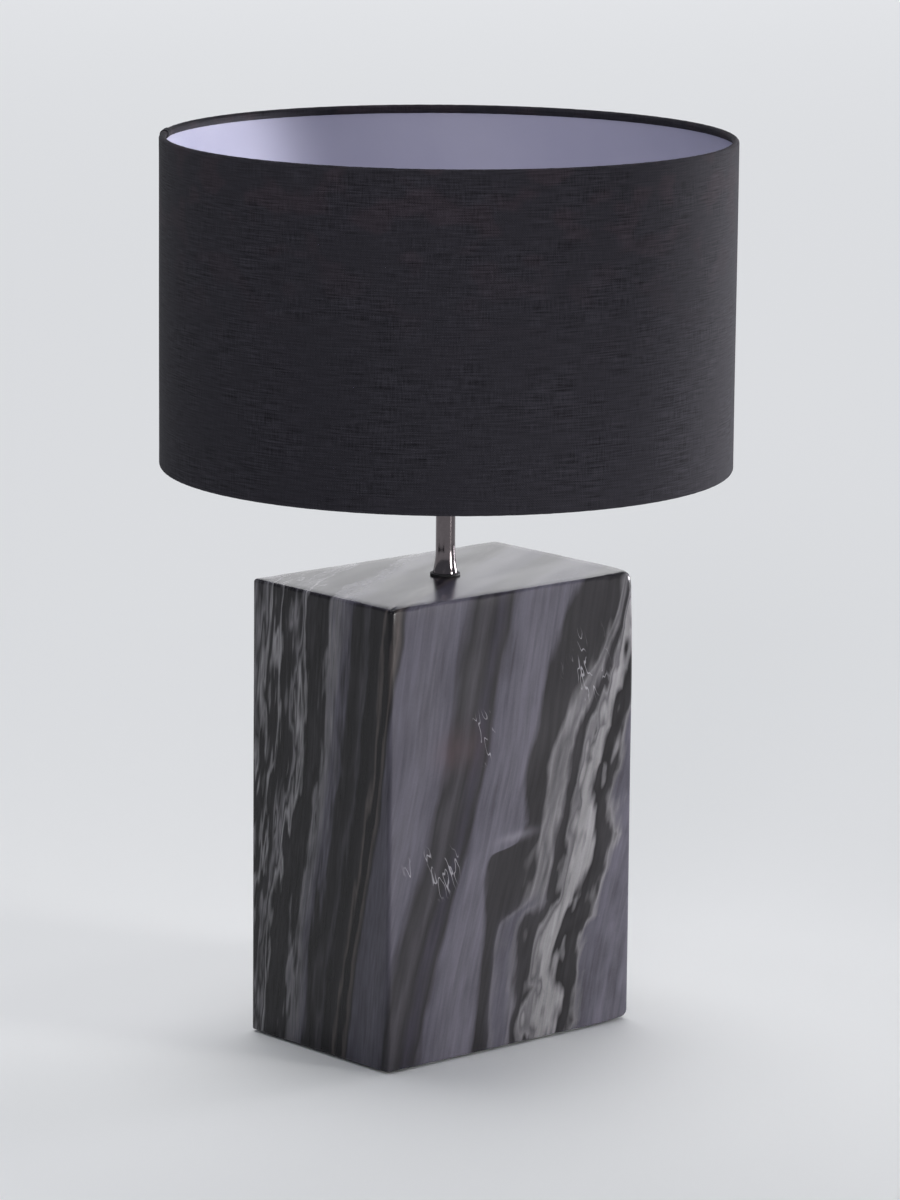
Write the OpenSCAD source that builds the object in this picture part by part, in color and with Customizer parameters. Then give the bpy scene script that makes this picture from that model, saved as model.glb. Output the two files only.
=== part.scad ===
// Table lamp: a drum shade on a short chrome neck over a rectangular marble block.
// Millimetres, +Z up. The origin is the middle of the pad's underside, on the floor.
// The block's wide faces look along -Y (front) and +Y (back, with the cord inlet).

/* [Base] */
// Width of the marble block, along X
block_w = 200; // [180:1:240]
// Depth of the marble block, along Y
block_d = 130; // [120:1:160]
// Height of the marble block
block_h = 284; // [200:1:320]
// Thickness of the stone walls round the hollow
block_wall = 25; // [22:1:30]
// Thickness of the stone left above the hollow
block_roof = 40; // [30:1:60]
// Radius of the block's upright edges
upright_edge_r = 4.5; // [2:0.5:8]
// Radius of the block's top edges
top_edge_r = 2.5; // [1:0.5:4]
// Thickness of the steel plate that closes the hollow
plate_t = 3; // [2:0.5:4]
// Thickness of the pad under the block
pad_t = 1.5; // [1:0.5:3]
// How far the pad stays inside the block's outline
pad_inset = 6; // [4:1:10]
// Height of the cord inlet's middle above the block's underside
inlet_height = 14; // [13:1:30]

/* [Neck] */
// Gap from the block's top to the shade's lower edge
neck_gap = 68; // [60:1:120]
// Outside diameter of the chrome neck
neck_dia = 12; // [11.5:0.5:14]
// Outside diameter of the neck's flared foot
foot_dia = 15.2; // [15:0.1:17]
// Height over which the neck flares out to its foot
flare_h = 15; // [8:1:20]
// Outside diameter of the dark washer under the neck
neck_washer_dia = 18.5; // [17.5:0.5:22]
// Thickness of the dark washer under the neck
neck_washer_t = 1.5; // [1:0.5:2]

/* [Shade] */
// Outside diameter of the drum shade
shade_dia = 350; // [280:10:450]
// Height of the drum shade
shade_h = 202; // [160:1:260]
// Height of the fitter's seat above the shade's lower edge
fitter_recess = 20; // [14:1:30]
// Diameter of the wire in the shade's rings and arms
wire_dia = 3; // [2.5:0.1:3]
// Thickness of the outer cloth
cloth_t = 0.6; // [0.4:0.1:0.7]
// Thickness of the white lining
lining_t = 0.4; // [0.3:0.1:0.5]
// Height of the cloth turned over each wire ring
hem_h = 5; // [4.5:0.5:6]

/* [Bulb] */
// Largest diameter of the bulb
bulb_dia = 60; // [54:1:66]
// Length of the bulb from its tip contact to its top
bulb_len = 108; // [104:1:114]

/* [Hidden] */
$fn = 96;

// Heights of the main faces
block_z = pad_t;
block_top_z = block_z + block_h;
roof_z = block_top_z - block_roof;
sleeve_z = block_top_z + neck_washer_t;
shade_z = block_top_z + neck_gap;
shade_top_z = shade_z + shade_h;
seat_z = shade_z + fitter_recess;

// Hollow, rebate and plate in the block's underside
pocket_w = block_w - 2 * block_wall;
pocket_d = block_d - 2 * block_wall;
pocket_corner_r = 15;
ledge = 13;
rebate_w = pocket_w + 2 * ledge;
rebate_d = pocket_d + 2 * ledge;
rebate_corner_r = 6;
plate_gap = 0.5;
fit_gap = 0.05;
screw_x = pocket_w / 2 + 3;
screw_y = pocket_d / 2 + 3;
screw_r = 2;
screw_head_r = 3.8;
screw_len = 12;
insert_r = 3;
insert_len = 11;

// Lamp tube, M10 x 1, and its fixings under the roof of the hollow
tube_r = 4.95;
tube_bore_r = 3.9;
stone_bore_r = 5.5;
tube_below = 10;
washer_r = 15;
washer_t = 2;
lock_washer_r = 9;
lock_washer_t = 1;
lock_teeth = 10;
nut_flats = 14;
nut_t = 4;
fixing_bore_r = 5.05;

// Cord inlet
cord_bore_r = 3.4;
grommet_r = 5;
grommet_flange_r = 8;
grommet_flange_t = 2;
inlet_z = block_z + inlet_height;
inlet_bore_r = grommet_r + fit_gap;

// Lampholder, E27: heights are measured from the seat of the shade's fitter
cap_low = -38.5;
cap_neck_top = -32.5;
cap_floor_top = -30.5;
cap_wide = -24;
joint_h = -11;
flange_t = 2.5;
thread_h = 22;
rim_h = 24;
holder_r = 18.5;
holder_wall = 1.8;
holder_flange_r = 23.5;
thread_root_r = 19.1;
thread_crest_r = 19.7;
thread_pitch = 2;
mouth_r = 16.8;
core_r = 16.5;
core_low = -23.5;
core_top = -10;
shell_top = 14;
contact_h = -7.1;
terminal_x = 9.5;
terminal_r = 2.4;
grub_r = 1.5;
grub_h = -35.5;

// Knuckle thread of the bulb and of the holder's screw shell
knuckle_pitch = 3.6;
knuckle_depth = 1;
knuckle_steps = 6;
cap_crest_r = 13.1;
shell_crest_r = 14.5;
shell_t = 0.4;

// Clamp ring, and the fitter ring under it
seat_gap = 0.1;
fitter_t = 1.5;
fitter_bore_r = 20.4;
fitter_r = 26;
clamp_bore_r = 20.1;
clamp_r = 26;
clamp_rim_r = 28;
clamp_rim_t = 3;
clamp_h = 10;
clamp_ribs = 24;

// Bulb: heights are measured from the seat too
tip_h = -7;
tip_t = 1.5;
tip_r = 4.5;
insulator_top = -1;
bulb_cap_top = 19;
housing_top = 52;
globe_wall = 1.2;
bulb_gap = 0.1;
globe_r = bulb_dia / 2;
globe_top = tip_h + bulb_len;
globe_mid = globe_top - globe_r;
collar_r = 13.7;
globe_seat_r = globe_r - 2.5;

// Shade
arm_count = 3;
shade_r = shade_dia / 2;
cloth_in_r = shade_r - cloth_t;
lining_gap = 0.1;
lining_r = cloth_in_r - lining_gap;
wire_r = wire_dia / 2;
hem_wall = 0.6;
wire_gap = 0.05;
channel_gap = 0.12;
hem_w = wire_dia + 2 * (hem_wall + wire_gap);
ring_r = shade_r - hem_wall - wire_gap - wire_r;
ring_inset_z = hem_wall + wire_gap + wire_r;

// Block with rounded upright edges, standing on z = 0
module rounded_block(w, d, h, r) {
    translate([-w / 2 + r, -d / 2, 0]) cube([w - 2 * r, d, h]);
    translate([-w / 2, -d / 2 + r, 0]) cube([w, d - 2 * r, h]);
    for (sx = [-1, 1], sy = [-1, 1])
        translate([sx * (w / 2 - r), sy * (d / 2 - r), 0]) cylinder(r = r, h = h);
}

// Bar along Y whose two top edges are rounded, its underside on z = 0
module eased_bar(w, d, h, r) {
    translate([-w / 2, -d / 2, 0]) cube([w, d, h - r]);
    translate([-w / 2 + r, -d / 2, 0]) cube([w - 2 * r, d, h]);
    for (sx = [-1, 1])
        translate([sx * (w / 2 - r), d / 2, h - r]) rotate([90, 0, 0]) cylinder(r = r, h = d);
}

// Flat ring or tube, standing on z = 0
module ring(r_out, r_in, h) {
    difference() {
        cylinder(r = r_out, h = h);
        translate([0, 0, -1]) cylinder(r = r_in, h = h + 2);
    }
}

// Puts its children at the four corners of the base plate
module at_plate_screws() {
    for (sx = [-1, 1], sy = [-1, 1])
        translate([sx * screw_x, sy * screw_y, block_z]) children();
}

// Radius of a knuckle thread at height z: a rounded wave below its crest
function knuckle(crest, z) = crest - knuckle_depth * (1 - cos(360 * z / knuckle_pitch)) / 2;

// Points of a knuckle thread's outline from z0 up to z1
function knuckle_line(crest, z0, z1) = let (n = ceil((z1 - z0) / knuckle_pitch * knuckle_steps))
    [for (i = [0 : n]) let (z = z0 + (z1 - z0) * i / n) [knuckle(crest, z), z]];

// The same points from the top down
function reversed(points) = [for (i = [len(points) - 1 : -1 : 0]) points[i]];

module marble_block() {
    color([0.29, 0.29, 0.32]) difference() {
        translate([0, 0, block_z]) intersection() {
            rounded_block(block_w, block_d, block_h, upright_edge_r);
            eased_bar(block_w, block_d + 2, block_h, top_edge_r);
            rotate([0, 0, 90]) eased_bar(block_d, block_w + 2, block_h, top_edge_r);
        }
        translate([0, 0, block_z - 1]) rounded_block(pocket_w, pocket_d, roof_z - block_z + 1, pocket_corner_r);
        translate([0, 0, block_z - 1]) rounded_block(rebate_w, rebate_d, plate_t + 1, rebate_corner_r);
        translate([0, 0, roof_z - 1]) cylinder(r = stone_bore_r, h = block_roof + 2);
        translate([0, pocket_d / 2 - 1, inlet_z]) rotate([-90, 0, 0]) cylinder(r = inlet_bore_r, h = block_wall + 2);
        at_plate_screws() cylinder(r = insert_r + fit_gap, h = plate_t + insert_len + 1);
    }
}

module base_plate() {
    color([0.16, 0.16, 0.17]) difference() {
        translate([0, 0, block_z])
            rounded_block(rebate_w - 2 * plate_gap, rebate_d - 2 * plate_gap, plate_t, rebate_corner_r);
        at_plate_screws() {
            translate([0, 0, -1]) cylinder(r = screw_r + 0.3, h = plate_t + 2);
            cylinder(r1 = screw_head_r + 0.2, r2 = screw_r + 0.2, h = screw_head_r - screw_r);
        }
    }
}

module base_pad() {
    color([0.1, 0.1, 0.1])
        rounded_block(block_w - 2 * pad_inset, block_d - 2 * pad_inset, pad_t, upright_edge_r);
}

module plate_screws() {
    cross_w = 4;
    cross_t = 0.9;
    cross_depth = 1.2;
    color([0.72, 0.73, 0.75]) at_plate_screws() difference() {
        union() {
            cylinder(r1 = screw_head_r, r2 = screw_r, h = screw_head_r - screw_r);
            cylinder(r = screw_r, h = screw_len);
        }
        for (turn = [0, 90]) rotate([0, 0, turn])
            translate([-cross_w / 2, -cross_t / 2, -1]) cube([cross_w, cross_t, 1 + cross_depth]);
    }
}

module plate_screw_inserts() {
    color([0.76, 0.6, 0.3]) at_plate_screws()
        translate([0, 0, plate_t]) ring(insert_r, screw_r + fit_gap, insert_len);
}

// Rubber bush: a sleeve right through the back wall, with a domed flange outside
module cord_grommet() {
    edge = 0.6;
    sleeve_len = block_wall;
    color([0.06, 0.06, 0.06]) translate([0, pocket_d / 2, inlet_z]) rotate([-90, 0, 0])
        rotate_extrude() polygon([
            [cord_bore_r, 0],
            [grommet_r, 0],
            [grommet_r, sleeve_len],
            [grommet_flange_r, sleeve_len],
            [grommet_flange_r, sleeve_len + grommet_flange_t - edge],
            [grommet_flange_r - edge, sleeve_len + grommet_flange_t],
            [cord_bore_r, sleeve_len + grommet_flange_t]
        ]);
}

module threaded_tube() {
    tube_z = roof_z - tube_below;
    tube_top = seat_z + cap_floor_top - 0.5;
    color([0.7, 0.7, 0.68]) translate([0, 0, tube_z]) ring(tube_r, tube_bore_r, tube_top - tube_z);
}

module tube_washer() {
    color([0.72, 0.73, 0.75]) translate([0, 0, roof_z - washer_t]) ring(washer_r, fixing_bore_r, washer_t);
}

module tube_lock_washer() {
    tooth_w = 2;
    color([0.68, 0.69, 0.71]) translate([0, 0, roof_z - washer_t - lock_washer_t]) difference() {
        ring(lock_washer_r, fixing_bore_r, lock_washer_t);
        for (i = [0 : lock_teeth - 1]) rotate([0, 0, 360 * i / lock_teeth])
            translate([lock_washer_r - 1.8, -tooth_w / 2, -1]) cube([3, tooth_w, lock_washer_t + 2]);
    }
}

module tube_nut() {
    color([0.76, 0.6, 0.3]) translate([0, 0, roof_z - washer_t - lock_washer_t - nut_t]) difference() {
        cylinder(r = nut_flats / 2 / cos(30), h = nut_t, $fn = 6);
        translate([0, 0, -1]) cylinder(r = fixing_bore_r, h = nut_t + 2);
    }
}

module neck_washer() {
    color([0.05, 0.05, 0.055]) translate([0, 0, block_top_z])
        ring(neck_washer_dia / 2, fixing_bore_r + 0.2, neck_washer_t);
}

// Chrome tube whose lowest part widens in a slow curve to a flared foot
module neck_sleeve() {
    bore_r = 5.2;
    steps = 12;
    neck_r = neck_dia / 2;
    flare = foot_dia / 2 - neck_r;
    sleeve_h = seat_z + cap_low - sleeve_z;
    color([0.8, 0.8, 0.82]) translate([0, 0, sleeve_z]) rotate_extrude() polygon(concat(
        [[bore_r, 0]],
        [for (i = [0 : steps]) let (t = i / steps) [neck_r + flare * pow(1 - t, 2), flare_h * t]],
        [[neck_r, sleeve_h], [bore_r, sleeve_h]]
    ));
}

// Lower cap of the lampholder: a threaded neck that opens into a round cup
module holder_cap() {
    neck_r = 8;
    steps = 8;
    cup = holder_r - neck_r;
    cup_h = cap_wide - cap_neck_top;
    cup_in_r = holder_r - holder_wall;
    color([0.04, 0.04, 0.045]) translate([0, 0, seat_z]) difference() {
        rotate_extrude() polygon(concat(
            [[fixing_bore_r, cap_low], [neck_r, cap_low]],
            [for (i = [0 : steps]) let (a = 90 * i / steps) [neck_r + cup * sin(a), cap_wide - cup_h * cos(a)]],
            [[holder_r, joint_h], [cup_in_r, joint_h], [cup_in_r, cap_wide]],
            [[neck_r + 1, cap_floor_top], [fixing_bore_r, cap_floor_top]]
        ));
        translate([0, 0, grub_h]) rotate([-90, 0, 0]) cylinder(r = grub_r + fit_gap, h = neck_r + 2);
    }
}

module holder_grub_screw() {
    color([0.72, 0.73, 0.75]) translate([0, tube_r + 0.05, seat_z + grub_h]) rotate([-90, 0, 0])
        cylinder(r = grub_r, h = 2.8);
}

// Insulating core that carries the contacts, drilled for its two terminals
module holder_core() {
    color([0.93, 0.92, 0.88]) translate([0, 0, seat_z]) difference() {
        translate([0, 0, core_low]) cylinder(r = core_r, h = core_top - core_low);
        for (sx = [-1, 1]) translate([sx * terminal_x, 0, core_low - 1])
            cylinder(r = terminal_r + fit_gap, h = 9);
        translate([0, 0, core_top - 3]) cylinder(r = 2.2, h = 4);
    }
}

module holder_screw_shell() {
    outside = knuckle_line(shell_crest_r + shell_t, core_top, shell_top);
    inside = reversed(knuckle_line(shell_crest_r, core_top, shell_top));
    color([0.76, 0.6, 0.3]) translate([0, 0, seat_z]) rotate_extrude() polygon(concat(outside, inside));
}

// Brass spring strip on the core, raised in the middle to meet the bulb's tip
module holder_centre_contact() {
    strip_w = 7;
    strip_t = 0.6;
    half_span = 11;
    half_top = 4;
    rise = contact_h - core_top - strip_t;
    color([0.78, 0.62, 0.3]) translate([0, strip_w / 2, seat_z + core_top]) rotate([90, 0, 0])
        linear_extrude(height = strip_w) polygon([
            [-half_span, 0],
            [-half_top - 3, 0],
            [-half_top, rise],
            [half_top, rise],
            [half_top + 3, 0],
            [half_span, 0],
            [half_span, strip_t],
            [half_top + 3.2, strip_t],
            [half_top + 0.2, rise + strip_t],
            [-half_top - 0.2, rise + strip_t],
            [-half_top - 3.2, strip_t],
            [-half_span, strip_t]
        ]);
}

module holder_terminal_screws() {
    head_h = 1.6;
    color([0.76, 0.6, 0.3]) for (sx = [-1, 1]) translate([sx * terminal_x, 0, seat_z + core_low]) difference() {
        union() {
            cylinder(r = terminal_r, h = 6);
            translate([0, 0, -head_h]) cylinder(r = terminal_r + 0.9, h = head_h);
        }
        translate([-4, -0.4, -head_h - 1]) cube([8, 0.8, 1.8]);
    }
}

// Outer shell of the lampholder, with the seat flange and the thread for the clamp ring
module holder_shell() {
    thread_start = 4;
    turns = floor((thread_h - thread_start) / thread_pitch);
    teeth = [for (i = [0 : turns - 1], p = [
        [thread_root_r, 0],
        [thread_crest_r, 0.6],
        [thread_crest_r, 1],
        [thread_root_r, 1.6]
    ]) [p[0], thread_start + i * thread_pitch + p[1]]];
    color([0.04, 0.04, 0.045]) translate([0, 0, seat_z]) rotate_extrude() polygon(concat(
        [[mouth_r, joint_h], [holder_r, joint_h]],
        [[holder_r, -flange_t - 1], [holder_flange_r - 0.5, -flange_t], [holder_flange_r, -flange_t + 0.5]],
        [[holder_flange_r, 0], [thread_root_r, 0]],
        teeth,
        [[thread_root_r, rim_h - 0.8], [thread_root_r - 0.8, rim_h], [mouth_r, rim_h]]
    ));
}

// Ring that screws down on the shade's fitter: a flat rim below a ribbed grip
module shade_clamp_ring() {
    rib_r = 0.8;
    color([0.04, 0.04, 0.045]) translate([0, 0, seat_z + 2 * seat_gap + fitter_t]) difference() {
        union() {
            cylinder(r = clamp_rim_r, h = clamp_rim_t);
            cylinder(r = clamp_r - 1, h = clamp_h);
            for (i = [0 : clamp_ribs - 1]) rotate([0, 0, 360 * i / clamp_ribs])
                translate([clamp_r - 1.2, 0, 0]) cylinder(r = rib_r, h = clamp_h, $fn = 16);
        }
        translate([0, 0, -1]) cylinder(r = clamp_bore_r, h = clamp_h + 2);
    }
}

module bulb_tip_contact() {
    color([0.75, 0.76, 0.77]) translate([0, 0, seat_z + tip_h]) rotate_extrude() polygon([
        [0, 0],
        [tip_r - 1.2, 0],
        [tip_r, 0.8],
        [tip_r, tip_t],
        [0, tip_t]
    ]);
}

module bulb_insulator() {
    low_r = 6.5;
    high_r = 11.9;
    color([0.03, 0.03, 0.035]) translate([0, 0, seat_z + tip_h + tip_t])
        cylinder(r1 = low_r, r2 = high_r, h = insulator_top - tip_h - tip_t);
}

module bulb_screw_cap() {
    wall = 0.35;
    start = insulator_top;
    neck = bulb_cap_top - 3;
    outside = knuckle_line(cap_crest_r, start, neck);
    inside = reversed(knuckle_line(cap_crest_r - wall, start + wall, neck));
    color([0.75, 0.76, 0.77]) translate([0, 0, seat_z]) rotate_extrude() polygon(concat(
        [[0, start]],
        outside,
        [[cap_crest_r, bulb_cap_top], [cap_crest_r - wall, bulb_cap_top]],
        inside,
        [[0, start + wall]]
    ));
}

// White housing of the bulb: a cup that swells in an S-curve from the screw cap to the globe
module bulb_housing() {
    wall = 1.5;
    lip_w = 4;
    lip_t = 1.2;
    steps = 12;
    rise = housing_top - bulb_cap_top;
    spread = globe_seat_r - collar_r;
    outside = [for (i = [0 : steps]) let (t = i / steps)
        [collar_r + spread * (1 - cos(180 * t)) / 2, bulb_cap_top + rise * t]];
    color([0.93, 0.93, 0.92]) translate([0, 0, seat_z]) rotate_extrude() polygon(concat(
        [[0, bulb_cap_top]],
        outside,
        [[globe_seat_r - lip_w, housing_top], [globe_seat_r - lip_w, housing_top - lip_t]],
        [for (i = [steps - 1 : -1 : 1]) [outside[i][0] - wall, outside[i][1]]],
        [[0, bulb_cap_top + wall]]
    ));
}

module bulb_driver_board() {
    board_w = 18;
    board_h = 24;
    board_t = 1.2;
    color([0.12, 0.38, 0.2]) translate([-board_w / 2, -board_t / 2, seat_z + bulb_cap_top + 4])
        cube([board_w, board_t, board_h]);
}

module bulb_led_board() {
    board_r = globe_seat_r - 2.5;
    board_t = 1.2;
    led_side = 3;
    led_ring_r = 0.6 * board_r;
    led_count = 8;
    color([0.85, 0.86, 0.87]) translate([0, 0, seat_z + housing_top + bulb_gap]) {
        cylinder(r = board_r, h = board_t);
        for (i = [0 : led_count - 1]) rotate([0, 0, 360 * i / led_count])
            translate([led_ring_r - led_side / 2, -led_side / 2, board_t / 2]) cube([led_side, led_side, 1.2]);
    }
}

// Opal globe: a hollow shell, flared from the housing into a half ball
module bulb_globe() {
    steps = 18;
    base = housing_top + bulb_gap;
    flank = globe_r - globe_seat_r;
    outside = concat(
        [for (i = [0 : 6]) let (t = i / 6) [globe_seat_r + flank * sin(90 * t), base + (globe_mid - base) * t]],
        [for (i = [1 : steps]) let (a = 90 * i / steps) [globe_r * cos(a), globe_mid + globe_r * sin(a)]]
    );
    inner_r = globe_r - globe_wall;
    inside = concat(
        [for (i = [0 : steps - 1]) let (a = 90 - 90 * i / steps) [inner_r * cos(a), globe_mid + inner_r * sin(a)]],
        [for (i = [6 : -1 : 0]) let (t = i / 6) [outside[i][0] - globe_wall, outside[i][1]]]
    );
    color([0.95, 0.94, 0.9]) translate([0, 0, seat_z]) rotate_extrude() polygon(concat(outside, inside));
}

module shade_fitter_ring() {
    color([0.9, 0.9, 0.9]) translate([0, 0, seat_z + seat_gap]) ring(fitter_r, fitter_bore_r, fitter_t);
}

// Three straight arms, welded to the fitter ring and to the lower wire ring
module shade_fitter_arms() {
    weld_drop = 0.5;
    in_r = fitter_r - 1;
    in_z = seat_z + seat_gap - weld_drop;
    out_z = shade_z + ring_inset_z;
    run = ring_r - in_r;
    drop = in_z - out_z;
    color([0.9, 0.9, 0.9]) for (i = [0 : arm_count - 1]) rotate([0, 0, 90 + 360 * i / arm_count])
        translate([in_r, 0, in_z]) rotate([0, 90 + atan2(drop, run), 0])
            cylinder(r = wire_r, h = norm([run, drop]) - 0.3, $fn = 32);
}

// One wire ring of the shade's frame
module wire_ring(z) {
    color([0.9, 0.9, 0.9]) translate([0, 0, z]) rotate_extrude() translate([ring_r, 0]) circle(r = wire_r, $fn = 32);
}

module shade_bottom_ring() {
    wire_ring(shade_z + ring_inset_z);
}

module shade_top_ring() {
    wire_ring(shade_top_z - ring_inset_z);
}

module shade_lining() {
    color([0.9, 0.9, 0.93]) translate([0, 0, shade_z + hem_h])
        ring(lining_r, lining_r - lining_t, shade_h - 2 * hem_h);
}

module shade_cloth() {
    color([0.14, 0.13, 0.15]) translate([0, 0, shade_z + hem_h])
        ring(shade_r, cloth_in_r, shade_h - 2 * hem_h);
}

// Cloth turned over a wire ring: a closed band with a channel for the wire
module hem(z, wire_z) {
    color([0.1, 0.1, 0.11]) translate([0, 0, z]) rotate_extrude() difference() {
        translate([shade_r - hem_w, 0]) square([hem_w, hem_h]);
        translate([ring_r, wire_z]) circle(r = wire_r + channel_gap, $fn = 32);
    }
}

module shade_top_hem() {
    hem(shade_top_z - hem_h, hem_h - ring_inset_z);
}

// The lower hem is open at each arm, where the arm runs in to the wire
module shade_bottom_hem() {
    difference() {
        hem(shade_z, ring_inset_z);
        for (i = [0 : arm_count - 1]) rotate([0, 0, 90 + 360 * i / arm_count])
            translate([ring_r - wire_dia - 2, -wire_dia, shade_z - 1]) cube([wire_dia + 2, 2 * wire_dia, hem_h + 2]);
    }
}

marble_block();
base_plate();
base_pad();
plate_screws();
plate_screw_inserts();
cord_grommet();
threaded_tube();
tube_washer();
tube_lock_washer();
tube_nut();
neck_washer();
neck_sleeve();
holder_cap();
holder_grub_screw();
holder_core();
holder_screw_shell();
holder_centre_contact();
holder_terminal_screws();
holder_shell();
shade_clamp_ring();
bulb_tip_contact();
bulb_insulator();
bulb_screw_cap();
bulb_housing();
bulb_driver_board();
bulb_led_board();
bulb_globe();
shade_fitter_ring();
shade_fitter_arms();
shade_bottom_ring();
shade_top_ring();
shade_lining();
shade_cloth();
shade_top_hem();
shade_bottom_hem();
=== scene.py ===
# %% [markdown]
# # A table lamp: marble block, chrome neck and drum shade
#
# The lamp is built piece by piece on top of a packed engineering model, which gives every outside size.
# This adds what that model leaves out: the honed, banded stone, the woven cloth wrapped round its wires,
# the plated neck. The model is loaded first.

# %% Load the engineering model
import math

import bmesh
import bpy
import numpy as np
from mathutils import Matrix, Vector


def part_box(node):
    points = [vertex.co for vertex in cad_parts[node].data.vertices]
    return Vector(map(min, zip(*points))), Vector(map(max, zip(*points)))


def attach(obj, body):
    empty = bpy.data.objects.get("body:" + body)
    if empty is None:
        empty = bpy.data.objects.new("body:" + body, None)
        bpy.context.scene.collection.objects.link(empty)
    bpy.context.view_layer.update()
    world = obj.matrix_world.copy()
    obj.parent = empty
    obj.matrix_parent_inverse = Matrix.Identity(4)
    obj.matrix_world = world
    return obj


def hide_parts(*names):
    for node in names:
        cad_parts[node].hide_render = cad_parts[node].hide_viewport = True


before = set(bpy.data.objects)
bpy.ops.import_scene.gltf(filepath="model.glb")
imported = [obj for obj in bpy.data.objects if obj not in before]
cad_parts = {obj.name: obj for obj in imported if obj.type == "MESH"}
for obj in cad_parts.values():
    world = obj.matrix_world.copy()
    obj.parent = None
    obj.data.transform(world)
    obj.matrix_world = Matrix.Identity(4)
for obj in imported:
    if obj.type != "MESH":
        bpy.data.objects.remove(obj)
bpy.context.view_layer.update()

MM = 0.001


# %% [markdown]
# ## Reading sizes from the model
#
# Every position below starts from the box of an engineering piece, in millimetres, so if the block grows,
# the neck and the shade move with it. A box tells nothing of bores, walls and hidden steps, so those
# sizes are typed here, as named numbers beside the piece they belong to.

# %% Heights and radii, in millimetres
def low(node):
    return np.array(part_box(node)[0]) / MM


def high(node):
    return np.array(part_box(node)[1]) / MM


block_low, block_high = low("marble_block"), high("marble_block")
block_half = block_high[:2]
shade_low, shade_top = low("shade_bottom_hem")[2], high("shade_top_hem")[2]
shade_r = high("shade_cloth")[0]
lining_r = high("shade_lining")[0]
wire_r = (high("shade_bottom_ring")[2] - low("shade_bottom_ring")[2]) / 2
ring_r = high("shade_bottom_ring")[0] - wire_r
low_wire_z = low("shade_bottom_ring")[2] + wire_r
top_wire_z = high("shade_top_ring")[2] - wire_r
seat_z = high("holder_cap")[2] + 11
print("block", block_half * 2, "shade radius", round(shade_r, 2), "from", shade_low, "to", shade_top)

# %% [markdown]
# ## Surfaces as grids of points
#
# Nearly every piece here is one of two things: an outline turned round an axis, like pottery, or a
# section carried along a path, like piping. Both are grids of points, one line of the grid for each place
# along the way. Working out the grid as whole arrays keeps the code short and fast, and leaves one small
# function that turns any grid into a mesh with its faces pointing outwards.


# %% From a grid to a mesh
def grid_quads(rows, columns, close_rows=False, close_columns=False):
    """Four-sided faces of a grid: point (row, column) joined to its neighbours one row and one column on.
    A closed direction also joins its last line to its first."""
    i = np.arange(rows if close_rows else rows - 1)[:, None]
    j = np.arange(columns if close_columns else columns - 1)[None, :]
    next_i, next_j = (i + 1) % rows, (j + 1) % columns
    corners = [i * columns + j, i * columns + next_j, next_i * columns + next_j, next_i * columns + j]
    return np.stack(corners, axis=-1).reshape(-1, 4)


def make_mesh(name, points_mm, faces, flat_map=None, sharp_deg=35):
    """A mesh object from points in millimetres. Doubled points are merged, which closes poles, and the faces
    are turned outwards. flat_map gives each point its place on the flat cloth, in metres."""
    mesh = bpy.data.meshes.new(name)
    points = np.asarray(points_mm, float).reshape(-1, 3) * MM
    mesh.from_pydata(points.tolist(), [], [list(f) for f in faces])
    if flat_map is not None:
        corner_points = np.zeros(len(mesh.loops), np.int32)
        mesh.loops.foreach_get("vertex_index", corner_points)
        flat_uv = flat_map[corner_points].astype(np.float32)
        mesh.uv_layers.new(name="flat").data.foreach_set("uv", flat_uv.ravel())
    work = bmesh.new()
    work.from_mesh(mesh)
    bmesh.ops.remove_doubles(work, verts=work.verts, dist=0.002 * MM)
    bmesh.ops.recalc_face_normals(work, faces=work.faces)
    work.to_mesh(mesh)
    work.free()
    mesh.shade_smooth()
    mesh.set_sharp_from_angle(angle=math.radians(sharp_deg))
    piece = bpy.data.objects.new(name, mesh)
    bpy.context.scene.collection.objects.link(piece)
    return piece


# %% [markdown]
# ## Edges that catch the light
#
# No real edge is perfectly sharp: a turned collar has a broken edge, a moulding has a radius. The
# outline's corners are therefore replaced by small arcs before it is turned, which costs a few points and
# gives the thin highlights that make a piece look made.


# %% Round the corners of an outline
def eased(outline, radius=0.3, steps=4, closed=True):
    """Each corner becomes an arc of that radius that touches both sides. The arc starts radius / tan(half the
    corner's angle) from the corner, or 0.45 of the shorter side from it where the side is too short."""
    points = np.asarray(outline, float)
    made = []
    for k in range(len(points)):
        if not closed and k in (0, len(points) - 1):
            made.append(points[k][None])
            continue
        corner, before, after = points[k], points[k - 1], points[(k + 1) % len(points)]
        a, b = before - corner, after - corner
        long_a, long_b = np.linalg.norm(a), np.linalg.norm(b)
        a, b = a / long_a, b / long_b
        half = math.acos(float(np.clip(a @ b, -1, 1))) / 2
        if half > math.radians(86):
            made.append(corner[None])
            continue
        back = min(radius / math.tan(half), 0.45 * min(long_a, long_b))
        t = np.linspace(0, 1, steps + 1)[:, None]
        start, end = corner + a * back, corner + b * back
        made.append((1 - t) ** 2 * start + 2 * t * (1 - t) * corner + t ** 2 * end)
    return np.concatenate(made)


def turned(name, outline, steps=96, closed=True, ease=0.3, widen=None):
    """An outline of (radius, height) turned round the upright axis: x = radius times the angle's cosine,
    y = radius times its sine. widen(angle, radius, height) may add to the radius, for ribs and threads."""
    line = eased(outline, ease, closed=closed) if ease else np.asarray(outline, float)
    angle = np.linspace(0, 2 * np.pi, steps, endpoint=False)[:, None]
    r, z = np.broadcast_arrays(line[None, :, 0], np.broadcast_to(line[None, :, 1], (steps, len(line))))
    if widen is not None:
        r = r + widen(angle, r, z)
    points = np.stack([r * np.cos(angle), r * np.sin(angle), z], axis=-1)
    return make_mesh(name, points, grid_quads(steps, len(line), True, closed))


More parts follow.
